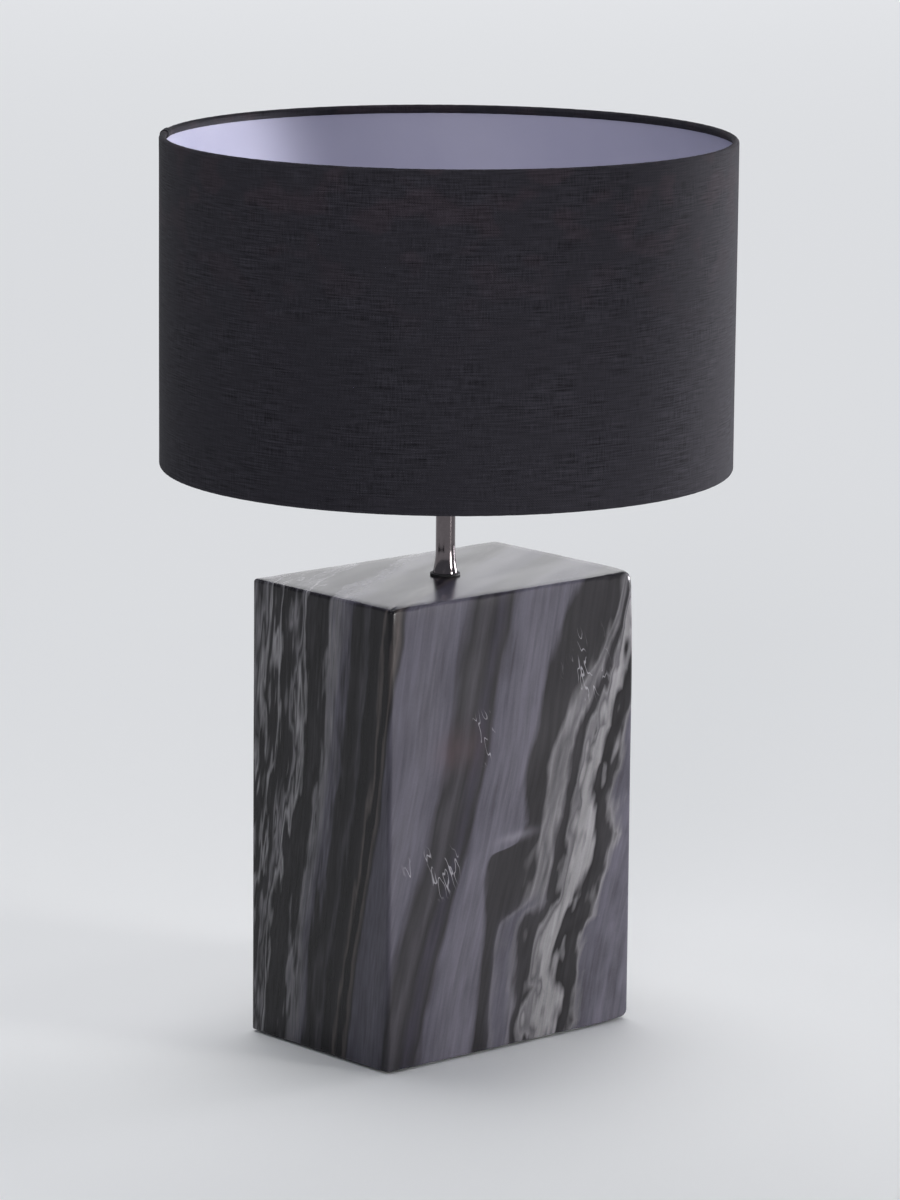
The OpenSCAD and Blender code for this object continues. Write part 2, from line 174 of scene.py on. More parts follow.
# %% [markdown]
# ## Shader sums written as Python
#
# A procedural finish is arithmetic on the place of a point: bands are a function of where you are in the
# stone. Wrapping a node's socket in a small class lets that arithmetic be written as such, and each
# operator adds the Math node it stands for. Everything that isn't plain arithmetic goes through one
# method, `node`.


# %% A finish and its signals
class Signal:
    """One value that varies over a surface. Sums with it add the matching Math node."""

    def __init__(self, finish, socket):
        self.finish, self.socket = finish, socket

    def sum_of(self, operation, first, second):
        return self.finish.node("ShaderNodeMath", {"operation": operation}, {0: first, 1: second})

    def __add__(self, other):
        return self.sum_of("ADD", self, other)

    def __radd__(self, other):
        return self.sum_of("ADD", other, self)

    def __sub__(self, other):
        return self.sum_of("SUBTRACT", self, other)

    def __rsub__(self, other):
        return self.sum_of("SUBTRACT", other, self)

    def __mul__(self, other):
        return self.sum_of("MULTIPLY", self, other)

    def __rmul__(self, other):
        return self.sum_of("MULTIPLY", other, self)

    def __truediv__(self, other):
        return self.sum_of("DIVIDE", self, other)

    def __rtruediv__(self, other):
        return self.sum_of("DIVIDE", other, self)


class Finish:
    """A material under construction, with one Principled shader."""

    def __init__(self, name):
        self.material = bpy.data.materials.new(name)
        self.material.use_nodes = True
        self.tree = self.material.node_tree
        self.tree.nodes.clear()
        self.skin = self.tree.nodes.new("ShaderNodeBsdfPrincipled")
        end = self.tree.nodes.new("ShaderNodeOutputMaterial")
        self.tree.links.new(self.skin.outputs[0], end.inputs[0])

    def node(self, kind, settings=None, values=None, out=0):
        """Adds a node: its settings first, such as an operation, a ramp's stops or a curve's points, then
        values or links."""
        made = self.tree.nodes.new(kind)
        for key, value in (settings or {}).items():
            if key == "stops":
                ramp = made.color_ramp
                while len(ramp.elements) < len(value):
                    ramp.elements.new(0.5)
                for stop, (place, colour) in zip(ramp.elements, value):
                    stop.position, stop.color = place, (*colour, 1.0)
            elif key == "curve":
                line = made.mapping.curves[0]
                while len(line.points) < len(value):
                    line.points.new(0.5, 0.5)
                for point, place in zip(line.points, value):
                    point.location = place
                made.mapping.update()
            else:
                setattr(made, key, value)
        self.feed(made, values or {})
        return Signal(self, made.outputs[out])

    def feed(self, node, values):
        for key, value in values.items():
            if isinstance(value, Signal):
                self.tree.links.new(value.socket, node.inputs[key])
            elif isinstance(value, tuple) and len(value) == 3 and node.inputs[key].type == "RGBA":
                node.inputs[key].default_value = (*value, 1.0)
            else:
                node.inputs[key].default_value = value

    def surface(self, **values):
        """Sets the shader's own sockets: base_color=..., roughness=..., sheen_weight=..."""
        names = {"ior": "IOR", "specular_ior_level": "Specular IOR Level"}
        self.feed(self.skin, {names.get(k, k.replace("_", " ").title()): v for k, v in values.items()})
        return self.material

    def place(self):
        """Where the point is, in millimetres, as three signals."""
        where = self.node("ShaderNodeTexCoord", out="Object")
        apart = self.node("ShaderNodeSeparateXYZ", values={0: where}).socket.node
        return [Signal(self, s) * 1000 for s in apart.outputs]

    def vector(self, x, y, z):
        return self.node("ShaderNodeCombineXYZ", values={0: x, 1: y, 2: z})

    def noise(self, vector, scale=1.0, detail=2.0, roughness=0.5, distortion=0.0):
        """Smooth noise from 0 to 1, about 0.5 on average."""
        return self.node("ShaderNodeTexNoise", values={"Vector": vector, "Scale": scale, "Detail": detail,
                                                       "Roughness": roughness, "Distortion": distortion})

    def step(self, value, start, end, low=0.0, high=1.0):
        """Rises smoothly from low at start to high at end."""
        return self.node("ShaderNodeMapRange", {"interpolation_type": "SMOOTHSTEP"},
                         {0: value, 1: start, 2: end, 3: low, 4: high})

    def bell(self, *offsets):
        """e to the minus sum of the squares: 1 at the middle of a spot, fading to 0 about two widths away."""
        total = sum(((o * o) for o in offsets[1:]), offsets[0] * offsets[0])
        return self.node("ShaderNodeMath", {"operation": "EXPONENT"}, {0: total * -1})

    def ramp(self, value, stops):
        return self.node("ShaderNodeValToRGB", {"stops": stops}, {0: value})

    def mixed(self, share, first, second, blend="MIX"):
        """A colour between two others, or one blended with the other."""
        return self.node("ShaderNodeMix", {"data_type": "RGBA", "blend_type": blend},
                         {0: share, 6: first, 7: second}, out=2)

    def bumped(self, height, distance_mm, strength=1.0):
        return self.node("ShaderNodeBump", values={"Strength": strength, "Distance": distance_mm * MM,
                                                   "Height": height})


def grey(value):
    return (value, value, value)


# %% [markdown]
# ## The stone's bands
#
# This marble is a dark grey limestone squeezed into near-vertical layers, so one number u tells how far
# across the layers a point lies, and the same layers show on every face of the block because u is worked
# out in the solid. The layers aren't plane: they sway with height, one has folded over itself half way
# up, and those on the right were torn into flames. Four boundaries between layers are therefore drawn as
# curves on the wide face, and u runs evenly from each to the next. Noise then roughens u, most of all on
# the right, where a creased noise gives the torn layers their pointed teeth. Painting the bands straight
# onto each face would be simpler, but then they wouldn't meet at the edges.

# %% Four boundaries that sway with height
BAND_TURN = 1.65  # how far a layer moves along the wide face for each millimetre of depth
SWAY = 120.0      # the curves hold places up to this far either side of the middle, in mm
block_tall = round(float(block_high[2] - block_low[2]), 3)

stone = Finish("honed_banded_marble")
sx, sy, sz = stone.place()
height_in_stone = sz - float(block_low[2])
height_up = height_in_stone / block_tall


def boundary(*points):
    """Where a boundary crosses the wide face, in mm from its middle, at each height: a smooth curve through
    (height, place) points."""
    curve = [(z / block_tall, 0.5 + x / (2 * SWAY)) for z, x in points]
    return (stone.node("ShaderNodeFloatCurve", {"curve": curve}, {1: height_up}) - 0.5) * (2 * SWAY)


dark_end = boundary((0, -79), (54, -65), (82, -55), (109, -45), (149, -32), (183, -21), (217, -15), (284, -1))
pale_end = boundary((0, -32), (48, -25), (82, -21), (110, -22), (121, -16), (128, 7), (134, 11), (176, 12),
                    (200, 19), (250, 36), (284, 56))
grey_start = boundary((0, -18), (48, -14), (76, -9), (90, 13), (115, 20), (149, 26), (173, 31), (193, 39),
                      (217, 54), (240, 73), (284, 91))
bright_middle = boundary((0, 24), (48, 34), (82, 46), (115, 56), (149, 63), (183, 70), (217, 85), (264, 95),
                         (284, 99))
print("boundaries on a block", block_tall, "mm tall")

# %% How far across the layers
flat_x = sx - (sy + float(block_half[1])) * BAND_TURN
lean = dark_end * 0.8


def between(start, end, low_u, high_u):
    """Rises evenly from low_u at one boundary to high_u at the next, and stays level outside them."""
    share = stone.node("ShaderNodeMath", {"operation": "DIVIDE", "use_clamp": True},
                       {0: flat_x - start, 1: end - start})
    return share * float(high_u - low_u)


def smaller(first, second):
    return stone.node("ShaderNodeMath", {"operation": "MINIMUM"}, {0: first, 1: second})


def larger(first, second):
    return stone.node("ShaderNodeMath", {"operation": "MAXIMUM"}, {0: first, 1: second})


def unsigned(value):
    """The value without its sign, so that a smooth noise about 0 gets sharp creases along its zero line."""
    return stone.node("ShaderNodeMath", {"operation": "ABSOLUTE"}, {0: value})


across = (smaller(flat_x - dark_end, 0.0) + 24 + between(dark_end, pale_end, 24, 64)
          + between(pale_end, grey_start, 64, 84) + between(grey_start, bright_middle, 84, 124)
          + larger(flat_x - bright_middle, 0.0))
leaning = flat_x - lean
along = stone.vector(leaning / 1000, sy / 1000, height_in_stone / 1000)


def stretched_noise(across_mm, along_mm, detail, shift=0.0):
    """Noise whose patches are across_mm wide and along_mm tall, and lean with the layers; minus a half."""
    place = stone.vector(leaning / across_mm + shift, sy / across_mm, height_in_stone / along_mm)
    return stone.noise(place, 1.0, detail) - 0.5


torn = stone.step(across, 72.0, 124.0)
far_torn = stone.step(across, -55.0, -190.0)
slow_bend = stretched_noise(60, 110, 1.5) * (torn * 8 + far_torn * 36 + 7)
flames = stretched_noise(13, 46, 2.0, 4.7) * (torn * 30 + far_torn * 48 + 10)
wisps = stretched_noise(6, 24, 1.5, 2.2) * (torn * 13 + far_torn * 16 + 3)
fold_near = stone.bell((flat_x - 2) / 20.0, (height_in_stone - 128) / 12.0)
teeth = (unsigned(stretched_noise(24, 26, 0.0, 9.1)) - 0.1) * (torn * 30 + fold_near * 40)
front_share = stone.step(sy, -35.0, -58.0)
layers = across + slow_bend + flames + wisps + teeth


# %% [markdown]
# ## The colours of the layers
#
# Each stop is a place across the layers and the colour there: lavender-grey, near-black and warm light
# grey in turn. The stops crowd together towards the right, where the layers are thin. A ramp holds 32
# stops at most, so the layers take three ramps, and each hands over to the next inside a dark layer that
# both of them hold.

# %% Three ramps over the layers
LAVENDER = (0.067, 0.063, 0.081)
PALE_LAVENDER = (0.084, 0.079, 0.099)
DARK = (0.0205, 0.0190, 0.0215)
DARKEST = (0.011, 0.010, 0.0115)
LIGHT = (0.134, 0.129, 0.138)
PALE = (0.205, 0.199, 0.208)
BROWN_PALE = (0.074, 0.063, 0.061)
MID = (0.043, 0.040, 0.047)
PURPLE_DARK = (0.030, 0.027, 0.038)
GREY = (0.082, 0.078, 0.086)

near_layers = [
    (-90, DARKEST), (-83, DARK), (-80, BROWN_PALE), (-77, DARKEST), (-70, DARKEST), (-67, BROWN_PALE),
    (-63, DARK), (-60, LAVENDER), (-50, LAVENDER), (-32, PALE_LAVENDER), (-14, LAVENDER), (-6, DARK),
    (3, MID), (9, DARK), (15, PURPLE_DARK), (22, DARK), (27, LAVENDER), (42, PALE_LAVENDER),
    (61, PALE_LAVENDER), (65, DARK), (81, DARK)]
torn_layers = [
    (64, DARK), (81, DARK), (85, LIGHT), (90, GREY), (95, LIGHT), (98, GREY), (102, DARK), (109, DARK),
    (113, LIGHT), (117, GREY), (121, PALE), (127, PALE), (130, LIGHT), (134, DARKEST), (143, DARK),
    (148, LIGHT), (155, LAVENDER), (176, PALE_LAVENDER)]
far_layers = [
    (-340, DARK), (-300, MID), (-288, DARKEST), (-274, LIGHT), (-266, DARK), (-257, PALE),
    (-250, DARKEST), (-240, DARK), (-234, PALE), (-228, DARKEST), (-218, DARK), (-211, LIGHT),
    (-206, DARK), (-199, PALE), (-192, DARKEST), (-182, DARK), (-172, DARKEST), (-164, DARK),
    (-158, LIGHT), (-134, LAVENDER), (-126, DARK), (-117, DARKEST), (-110, DARK), (-104, MID),
    (-99, DARKEST), (-90, DARKEST)]


def layer_ramp(layers_mm):
    first, last = layers_mm[0][0], layers_mm[-1][0]
    share = (layers - float(first)) / float(last - first)
    return stone.ramp(share, [((u - first) / (last - first), colour) for u, colour in layers_mm])


near_side = stone.step(layers, -92.0, -88.0)
torn_side = stone.step(layers, 70.0, 76.0)
near_and_far = stone.mixed(near_side, layer_ramp(far_layers), layer_ramp(near_layers))
banded = stone.mixed(torn_side, near_and_far, layer_ramp(torn_layers))
stops = len(near_layers) + len(far_layers) + len(torn_layers)
print("layers:", stops, "stops across", torn_layers[-1][0] - far_layers[0][0], "mm")


# %% [markdown]
# ## Grain, cracks and stains
#
# Up close the bands are made of finer streaks in the same direction, so thin stretched noise darkens and
# lightens them. Three clusters of hair-thin calcite cracks show on the wide face, and one rusty stain. A
# crack is the line where a noise passes through its middle value, which gives curved lines of even
# thickness at no cost.

# %% Fine detail in the stone
streaks = stretched_noise(3.0, 40, 4.0, 11.3)
clouds = stretched_noise(24, 44, 3.0, 7.1)
grain = stone.noise(along, 900.0, 2.0)
right_part = stone.step(flat_x, 60.0, 78.0)
streaked = streaks * (far_torn * 0.9 + 1.1)
clouded = clouds * (right_part + far_torn + 0.75)
tone = 1 + streaked + clouded + (grain - 0.5) * 0.2
soft_strip = stone.bell((layers - 90) / 8.0) * stone.step(height_in_stone, 98.0, 80.0)
softened = stone.mixed(soft_strip, banded, LAVENDER)
toned = stone.mixed(1.0, softened, stone.vector(tone, tone, tone), "MULTIPLY")

crack_sites = [(60.0, 232.0, 17.0, 20.0), (-23.0, 197.0, 15.0, 14.0), (-65.0, 118.0, 22.0, 14.0)]
crack_area = sum(stone.bell((sx - x) / w, (height_in_stone - z) / h) for x, z, w, h in crack_sites)
crack_place = stone.vector((sx + height_in_stone * 0.35) / 5.0, sy / 5.0, (height_in_stone - sx * 0.35) / 17)
crack_line = unsigned(stone.noise(crack_place, 1.0, 1.0) - 0.5)
broken = stone.step(stone.noise(crack_place, 0.45, 1.0), 0.50, 0.58)
cracks = stone.step(crack_line, 0.026, 0.006) * stone.step(crack_area, 0.12, 0.5) * broken * front_share
stain_spot = stone.bell((sx + 46) / 17.0, (height_in_stone - 192) / 13.0)
stain = stain_spot * front_share * stone.step(clouds, -0.2, 0.2)

stained = stone.mixed(stain * 0.5, toned, (0.075, 0.045, 0.050))
fold_edge = stone.bell((sx - 2) / 14.0, (height_in_stone - sx * 0.1 - 131 + wisps) / 3.0) * front_share
folded = stone.mixed(fold_edge * 0.5, stained, (0.20, 0.19, 0.225))
marble_colour = stone.mixed(cracks * 0.6, folded, (0.36, 0.35, 0.38))
honing = stone.noise(along, 26.0, 1.5)
marble = stone.surface(
    base_color=marble_colour,
    roughness=stone.step(honing, 0.3, 0.7, 0.22, 0.27),
    specular_ior_level=0.20,
    normal=stone.bumped(cracks * -1, 0.02, 0.3))
print("stone:", len(stone.tree.nodes), "nodes,", len(crack_sites), "clusters of cracks")


# %% [markdown]
# ## Sawing and hollowing the block
#
# The block is sawn, honed and hollowed from below, and its edges are eased by hand, so their radius
# wanders and small chips break it. A cube with a bevel gives every edge the same radius. Here the block
# is a stack of rectangular rings instead: each ring has its own corner radii, and the top edge's radius
# changes from point to point along it. The stack runs up the walls, over the top, down the hole for the
# tube and down the inside of the hollow, and closes on itself under the block, so outside and hollow are
# one skin.


# %% One ring of the stack
ARC_STEPS, LONG_STEPS, SHORT_STEPS = 10, 90, 60


def ring_outline(half_w, half_d, radii):
    """A rectangle with rounded corners, from its front-left corner round to the front right, back right and
    back left. Each corner is a quarter arc of its own radius, and the points between are evenly spaced.
    Returns the points and their outward directions."""
    points, outward = [], []
    corners = [(-1, -1, 180), (1, -1, 270), (1, 1, 0), (-1, 1, 90)]
    arcs = []
    for (side_x, side_y, start), radius in zip(corners, radii):
        a = np.radians(start + np.linspace(0, 90, ARC_STEPS))
        direction = np.stack([np.cos(a), np.sin(a)], axis=1)
        middle = np.array([side_x * (half_w - radius), side_y * (half_d - radius)])
        arcs.append((middle + radius * direction, direction))
    for k, (arc, direction) in enumerate(arcs):
        following = arcs[(k + 1) % 4][0][0]
        count = LONG_STEPS if k % 2 == 0 else SHORT_STEPS
        t = np.linspace(0, 1, count + 2)[1:-1, None]
        points += [arc, arc[-1] + (following - arc[-1]) * t]
        outward += [direction, np.repeat(direction[-1:], count, axis=0)]
    return np.concatenate(points), np.concatenate(outward)


def wander(*waves):
    """A smooth random-looking line: the mean of a few sine waves of unrelated lengths."""
    return sum(np.sin(w) for w in waves) / len(waves)


# %% The block's skin, ring by ring
bw, bd = block_half
bottom_z, top_z = block_low[2], block_high[2]
plate_high = high("base_plate")
rebate_gap = 0.5
wall_t = 25.0
pocket = (bw - wall_t, bd - wall_t)
roof_z = high("tube_washer")[2]
bore_r, inlet_r, insert_hole_r = 5.5, 5.05, 3.05
FLAT_INSET = 9.5     # the top is flat from here inwards, past the widest eased edge


def corner_radii(z):
    """Front left, front right, back right and back left. The front left edge is crisp. The front right one is
    rounder towards its top, where it has been knocked and eased."""
    near_top = np.clip((z - 205) / 80, 0, 1) ** 2
    return (2.8, 4.6 + 4.0 * near_top, 5.5, 3.0)


def wall_ring(z, inset=0.0, lift=0.0):
    """The outline at height z, pulled in a little by a slow wave, as honing leaves it, and by inset. Inset
    and lift, which raises the points, may differ from point to point."""
    points, outward = ring_outline(bw, bd, corner_radii(z))
    way = np.linspace(0, 2 * np.pi, len(points), endpoint=False)
    hollow_mm = 0.14 * (1 + wander(way * 3 + z * 0.021, way * 7 - z * 0.034, way * 5 + 1.7))
    return np.column_stack([points - outward * (hollow_mm + inset)[:, None], z + lift + 0 * way])


outline_points, _ = ring_outline(bw, bd, corner_radii(top_z))
way = np.linspace(0, 2 * np.pi, len(outline_points), endpoint=False)
edge_r = 2.1 + 0.45 * wander(way * 9, way * 23 + 1, way * 41 + 2)
right_corner = np.exp(-(np.linalg.norm(outline_points - [bw - 3, -bd + 3], axis=1) / 15) ** 2)
edge_r = edge_r + 3.6 * right_corner
chip_places = np.random.default_rng(5).choice(len(way), 16, replace=False)
for place in chip_places:
    gap = np.minimum(np.abs(np.arange(len(way)) - place), len(way) - np.abs(np.arange(len(way)) - place))
    edge_r = edge_r + 0.7 * np.exp(-(gap / 1.3) ** 2)


def top_edge_rings(steps=7):
    """The eased top edge: at angle a the skin lies edge_r * (1 - cos a) inside the wall and
    edge_r * (1 - sin a) below the top."""
    base = wall_ring(top_z)
    _, outward = ring_outline(bw, bd, corner_radii(top_z))
    rings = []
    for a in np.linspace(0, np.pi / 2, steps):
        inset = edge_r * (1 - np.cos(a))
        drop = edge_r * (1 - np.sin(a))
        rings.append(np.column_stack([base[:, :2] - outward * inset[:, None], top_z - drop]))
    return rings


def flat_ring(half_w, half_d, radius, z):
    points, _ = ring_outline(half_w, half_d, (radius,) * 4)
    return np.column_stack([points, np.full(len(points), z)])


rebate = (plate_high[0] + rebate_gap, plate_high[1] + rebate_gap)
worn = 1 + 4.0 * right_corner
skin = [wall_ring(bottom_z, worn * (1 - np.sin(a)), worn * (1 - np.cos(a)))
        for a in np.linspace(0, np.pi / 2, 5)]
skin += [wall_ring(z) for z in np.linspace(bottom_z + 6, top_z - 9, 36)]
skin += top_edge_rings()
skin += [flat_ring(bw - FLAT_INSET, bd - FLAT_INSET, 3.0, top_z)]
skin += [flat_ring(bore_r, bore_r, bore_r, z) for z in (top_z, roof_z)]
skin += [flat_ring(*pocket, 15, z) for z in (roof_z, plate_high[2])]
skin += [flat_ring(*rebate, 6, z) for z in (plate_high[2], bottom_z)]
skin = np.stack(skin)
block = make_mesh("marble_block_honed", skin, grid_quads(*skin.shape[:2], True, True), sharp_deg=40)
print("block skin:", skin.shape[0], "rings of", skin.shape[1], "points; top edge radius",
      round(float(edge_r.min()), 2), "to", round(float(edge_r.max()), 2), "mm")

# %% [markdown]
# ## Drilling the block
#
# The inlet for the cord and the four holes for the screw inserts are drilled after the block is shaped,
# as they are in the workshop: a cylinder for each is subtracted from the stone.


# %% Drill the inlet and the insert holes
def drill(name, radius, start, end, steps=32):
    """A cylinder between two points: a circle carried along the line that joins them, closed at both ends."""
    start, end = np.array(start, float), np.array(end, float)
    along_line = (end - start) / np.linalg.norm(end - start)
    side = np.cross(along_line, [0.0, 0.0, 1.0] if abs(along_line[2]) < 0.9 else [1.0, 0.0, 0.0])
    side /= np.linalg.norm(side)
    other = np.cross(along_line, side)
    a = np.linspace(0, 2 * np.pi, steps, endpoint=False)[:, None]
    circle = np.cos(a) * side + np.sin(a) * other
    rings = np.stack([start + circle * 0, start + circle * radius, end + circle * radius, end + circle * 0])
    return make_mesh(name, rings, grid_quads(4, steps, False, True))


inlet_z = (low("cord_grommet")[2] + high("cord_grommet")[2]) / 2
insert_far = high("plate_screw_inserts")
drills = [drill("drill_inlet", inlet_r, (0, pocket[1] - 3, inlet_z), (0, bd + 3, inlet_z))]
insert_r = 3.0
insert_at = insert_far[:2] - insert_r
drills += [drill("drill_insert", insert_hole_r, (a * insert_at[0], b * insert_at[1], bottom_z - 1),
                 (a * insert_at[0], b * insert_at[1], insert_far[2] + 1)) for a in (-1, 1) for b in (-1, 1)]
for tool in drills:
    cut = block.modifiers.new("cut", "BOOLEAN")
    cut.operation, cut.solver, cut.object = "DIFFERENCE", "EXACT", tool
bored = bpy.data.meshes.new_from_object(block.evaluated_get(bpy.context.evaluated_depsgraph_get()))
block.modifiers.clear()
block.data = bored
for tool in drills:
    bpy.data.objects.remove(tool)
block.data.shade_smooth()
block.data.set_sharp_from_angle(angle=math.radians(40))
print("block after drilling:", len(block.data.polygons), "faces")


# %% [markdown]
# ## Putting a piece on the lamp
#
# Every piece gets its finish, rides on the body that it moves with, and hides the engineering piece it
# stands for. One function does all of it, so that none is forgotten.


# %% Finish, body and hidden stand-in in one call
def fit(piece, finish, body, replaced):
    piece.data.materials.clear()
    piece.data.materials.append(finish)
    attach(piece, body)
    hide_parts(*replaced)
    return piece


fit(block, marble, "lamp_base", ["marble_block"])

# %% [markdown]
# ## Metals
#
# Plated, turned and pressed metals differ in colour and in how their surface scatters light. Turning
# leaves fine lines round the axis, so the roughness and a very shallow bump follow the distance from that
# axis and the height, and nothing else. Chrome hides most of that, and keeps a trace of polishing haze.
# The chrome's base colour here is much darker than real chrome's: it is painted shade, standing in for the
# darker surroundings that the neck mirrors, and is set to suit this pale studio.


# %% Turned and plated metal
def turned_metal(name, colour, roughness, lines=0.06, haze=0.05):
    metal = Finish(name)
    x, y, z = metal.place()
    from_axis = metal.node("ShaderNodeMath", {"operation": "SQRT"}, {0: x * x + y * y})
    line_place = metal.vector(from_axis * 3.0, 0.0, z * 3.0)
    tool_lines = metal.noise(line_place, 4.0, 2.0)
    spots = metal.noise(metal.vector(x, y, z), 0.35, 3.0)
    tone = metal.step(spots, 0.25, 0.75, 0.90, 1.04)
    return metal.surface(
        base_color=metal.mixed(1.0, colour, metal.vector(tone, tone, tone), "MULTIPLY"),
        metallic=1.0,
        roughness=roughness + (spots - 0.5) * haze + (tool_lines - 0.5) * lines,
        normal=metal.bumped(tool_lines, 0.01, 0.25))


# Painted shade: the chrome's base colour is darkened to stand in for the dark surroundings it mirrors.
chrome = turned_metal("chrome_plate", (0.15, 0.130, 0.135), 0.09, 0.02, 0.05)
zinc = turned_metal("zinc_plate", (0.56, 0.57, 0.60), 0.36)
brass = turned_metal("turned_brass", (0.66, 0.47, 0.20), 0.34)
nickel = turned_metal("nickel_plate", (0.62, 0.60, 0.56), 0.28)


# %% [markdown]
# ## Mouldings, coatings and rubber
#
# A moulded or coated part is one colour, but never perfectly so: the coat has an orange-peel texture, and
# a moulding has faint flow marks. Both are noise of the right size, feeding the roughness and a shallow
# bump.


# %% Moulded and coated surfaces
def coated(name, colour, roughness, grain_mm, bump_mm, contrast=0.12, **constants):
    coat = Finish(name)
    x, y, z = coat.place()
    where = coat.vector(x, y, z)
    peel = coat.noise(where, 1.0 / grain_mm, 3.0)
    patches = coat.noise(where, 0.06, 3.0)
    tone = 1 + (patches - 0.5) * contrast * 2 + (peel - 0.5) * contrast
    return coat.surface(
        base_color=coat.mixed(1.0, colour, coat.vector(tone, tone, tone), "MULTIPLY"),
        roughness=roughness + (patches - 0.5) * 0.12,
        normal=coat.bumped(peel, bump_mm, 0.6),
        **constants)


black_steel = coated("black_powder_coat", grey(0.022), 0.55, 0.5, 0.05)
white_wire = coated("white_powder_coat", (0.74, 0.74, 0.75), 0.42, 0.6, 0.04)
rubber = coated("black_rubber", grey(0.014), 0.72, 0.35, 0.03)
fibre = coated("black_fibre_washer", grey(0.012), 0.60, 0.3, 0.03)
holder_black = coated("black_moulding", grey(0.014), 0.38, 0.8, 0.02)
insulator_black = coated("black_glass_insulator", grey(0.010), 0.14, 1.2, 0.01)
porcelain = coated("raw_porcelain", (0.72, 0.70, 0.64), 0.62, 0.5, 0.04)
housing_white = coated("white_moulding", (0.78, 0.78, 0.77), 0.34, 0.9, 0.01, 0.04)
board_green = coated("circuit_board", (0.024, 0.15, 0.06), 0.36, 0.7, 0.01)
led_white = coated("white_aluminium_board", (0.72, 0.73, 0.74), 0.40, 0.8, 0.01, 0.06)
opal = coated("opal_diffuser", (0.82, 0.81, 0.78), 0.30, 3.0, 0.01, 0.03, subsurface_weight=0.25)

# %% [markdown]
# ## The neck
#
# A chrome sleeve covers the threaded tube and widens in a slow curve to a flared foot, which stands on a
# thin dark washer. Its outline is the whole shape, so it is turned. The foot's radius grows with the
# square of the distance below the top of the flare.

# %% Sleeve and washer
sleeve_low, sleeve_high = low("neck_sleeve")[2], high("neck_sleeve")[2]
foot_r = high("neck_sleeve")[0]
neck_r, flare_h, sleeve_bore, washer_bore = 6.0, 15.0, 5.2, 5.25
t = np.linspace(0, 1, 24)
flare = np.column_stack([neck_r + (foot_r - neck_r) * (1 - t) ** 2, sleeve_low + 0.5 + (flare_h - 0.5) * t])
sleeve_outline = np.concatenate([
    [[sleeve_bore, sleeve_low], [foot_r - 0.35, sleeve_low], [foot_r, sleeve_low + 0.2]], flare[1:],
    [[neck_r, sleeve_high - 0.3], [neck_r - 0.25, sleeve_high], [sleeve_bore, sleeve_high]]])
sleeve = turned("neck_sleeve_chrome", sleeve_outline, ease=0)
fit(sleeve, chrome, "lamp_base", ["neck_sleeve"])

washer_r = high("neck_washer")[0]
washer_low, washer_high = low("neck_washer")[2], high("neck_washer")[2]
washer = turned("neck_washer_fibre", [[washer_bore, washer_low], [washer_r, washer_low],
                                      [washer_r, washer_high], [washer_bore, washer_high]])
fit(washer, fibre, "lamp_base", ["neck_washer"])
print("neck", round(sleeve_high - sleeve_low, 1), "mm of sleeve over a", round(2 * foot_r, 1), "mm foot")

# %% [markdown]
# ## Under the block: felt pad and cord bush
#
# The pad is a sheet of needled felt cut a little smaller than the block and glued on. The rubber bush in
# the back wall protects the cord where it enters.

# %% Felt pad
pad_high = high("base_pad")
felt_finish = Finish("needled_felt")
fx, fy, fz = felt_finish.place()
felt_place = felt_finish.vector(fx, fy, fz)
fibres = felt_finish.noise(felt_place, 1.6, 4.0, 0.7, 1.2)
fluff = felt_finish.noise(felt_place, 0.12, 2.0)
felt = felt_finish.surface(
    base_color=felt_finish.ramp(fibres, [(0.3, grey(0.012)), (0.7, grey(0.034))]),
    roughness=felt_finish.step(fluff, 0.3, 0.7, 0.88, 0.98),
    sheen_weight=0.3,
    normal=felt_finish.bumped(fibres, 0.25, 0.8))


def pad_ring(inset, z):
    points, outward = ring_outline(pad_high[0] - 0.2, pad_high[1] - 0.2, (4.3,) * 4)
    way = np.linspace(0, 2 * np.pi, len(points), endpoint=False)
    ragged = 0.12 * wander(way * 61, way * 97 + 1, way * 143 + 2)
    return np.column_stack([points - outward * (inset + ragged)[:, None], np.full(len(points), z)])


pad_t = pad_high[2]
pad_rings = np.stack([pad_ring(inset, z) for inset, z in (
    (2.0, 0.0), (0.35, 0.05), (0.0, 0.45), (0.0, pad_t - 0.3), (0.2, pad_t), (2.0, pad_t))])
under, over = [np.broadcast_to([0, 0, z], pad_rings[:1].shape) for z in (0.0, pad_t)]
pad_rings = np.concatenate([under, pad_rings, over])
pad = make_mesh("felt_pad", pad_rings, grid_quads(*pad_rings.shape[:2], False, True), sharp_deg=60)
fit(pad, felt, "lamp_base", ["base_pad"])

# %% Rubber bush in the back wall
bush_far = high("cord_grommet")[1]
flange_r = (high("cord_grommet")[2] - low("cord_grommet")[2]) / 2
bush_bore, bush_body = 3.4, 5.0
bush_outline = eased([[bush_bore, pocket[1]], [bush_body, pocket[1]], [bush_body, bd], [flange_r, bd],
                      [flange_r, bush_far - 0.7], [flange_r - 1.4, bush_far], [bush_bore, bush_far]], 0.5, 5)
BUSH_STEPS = 64
angle = np.linspace(0, 2 * np.pi, BUSH_STEPS, endpoint=False)[:, None]
bush_r, bush_y = bush_outline.T
bush_points = np.stack(np.broadcast_arrays(
    bush_r * np.cos(angle), bush_y[None, :], inlet_z + bush_r * np.sin(angle)), axis=-1)
bush = make_mesh("cord_bush_rubber", bush_points, grid_quads(BUSH_STEPS, len(bush_outline), True, True))
fit(bush, rubber, "lamp_base", ["cord_grommet"])

# %% [markdown]
# ## The lampholder
#
# The holder is two black mouldings, a cup and a shell, that meet at a joint line, and a ribbed ring that
# clamps the shade's fitter. The shell carries a coarse outside thread. A thread is a wave that climbs as
# it goes round: the radius depends on the height less the pitch times the share of a turn.


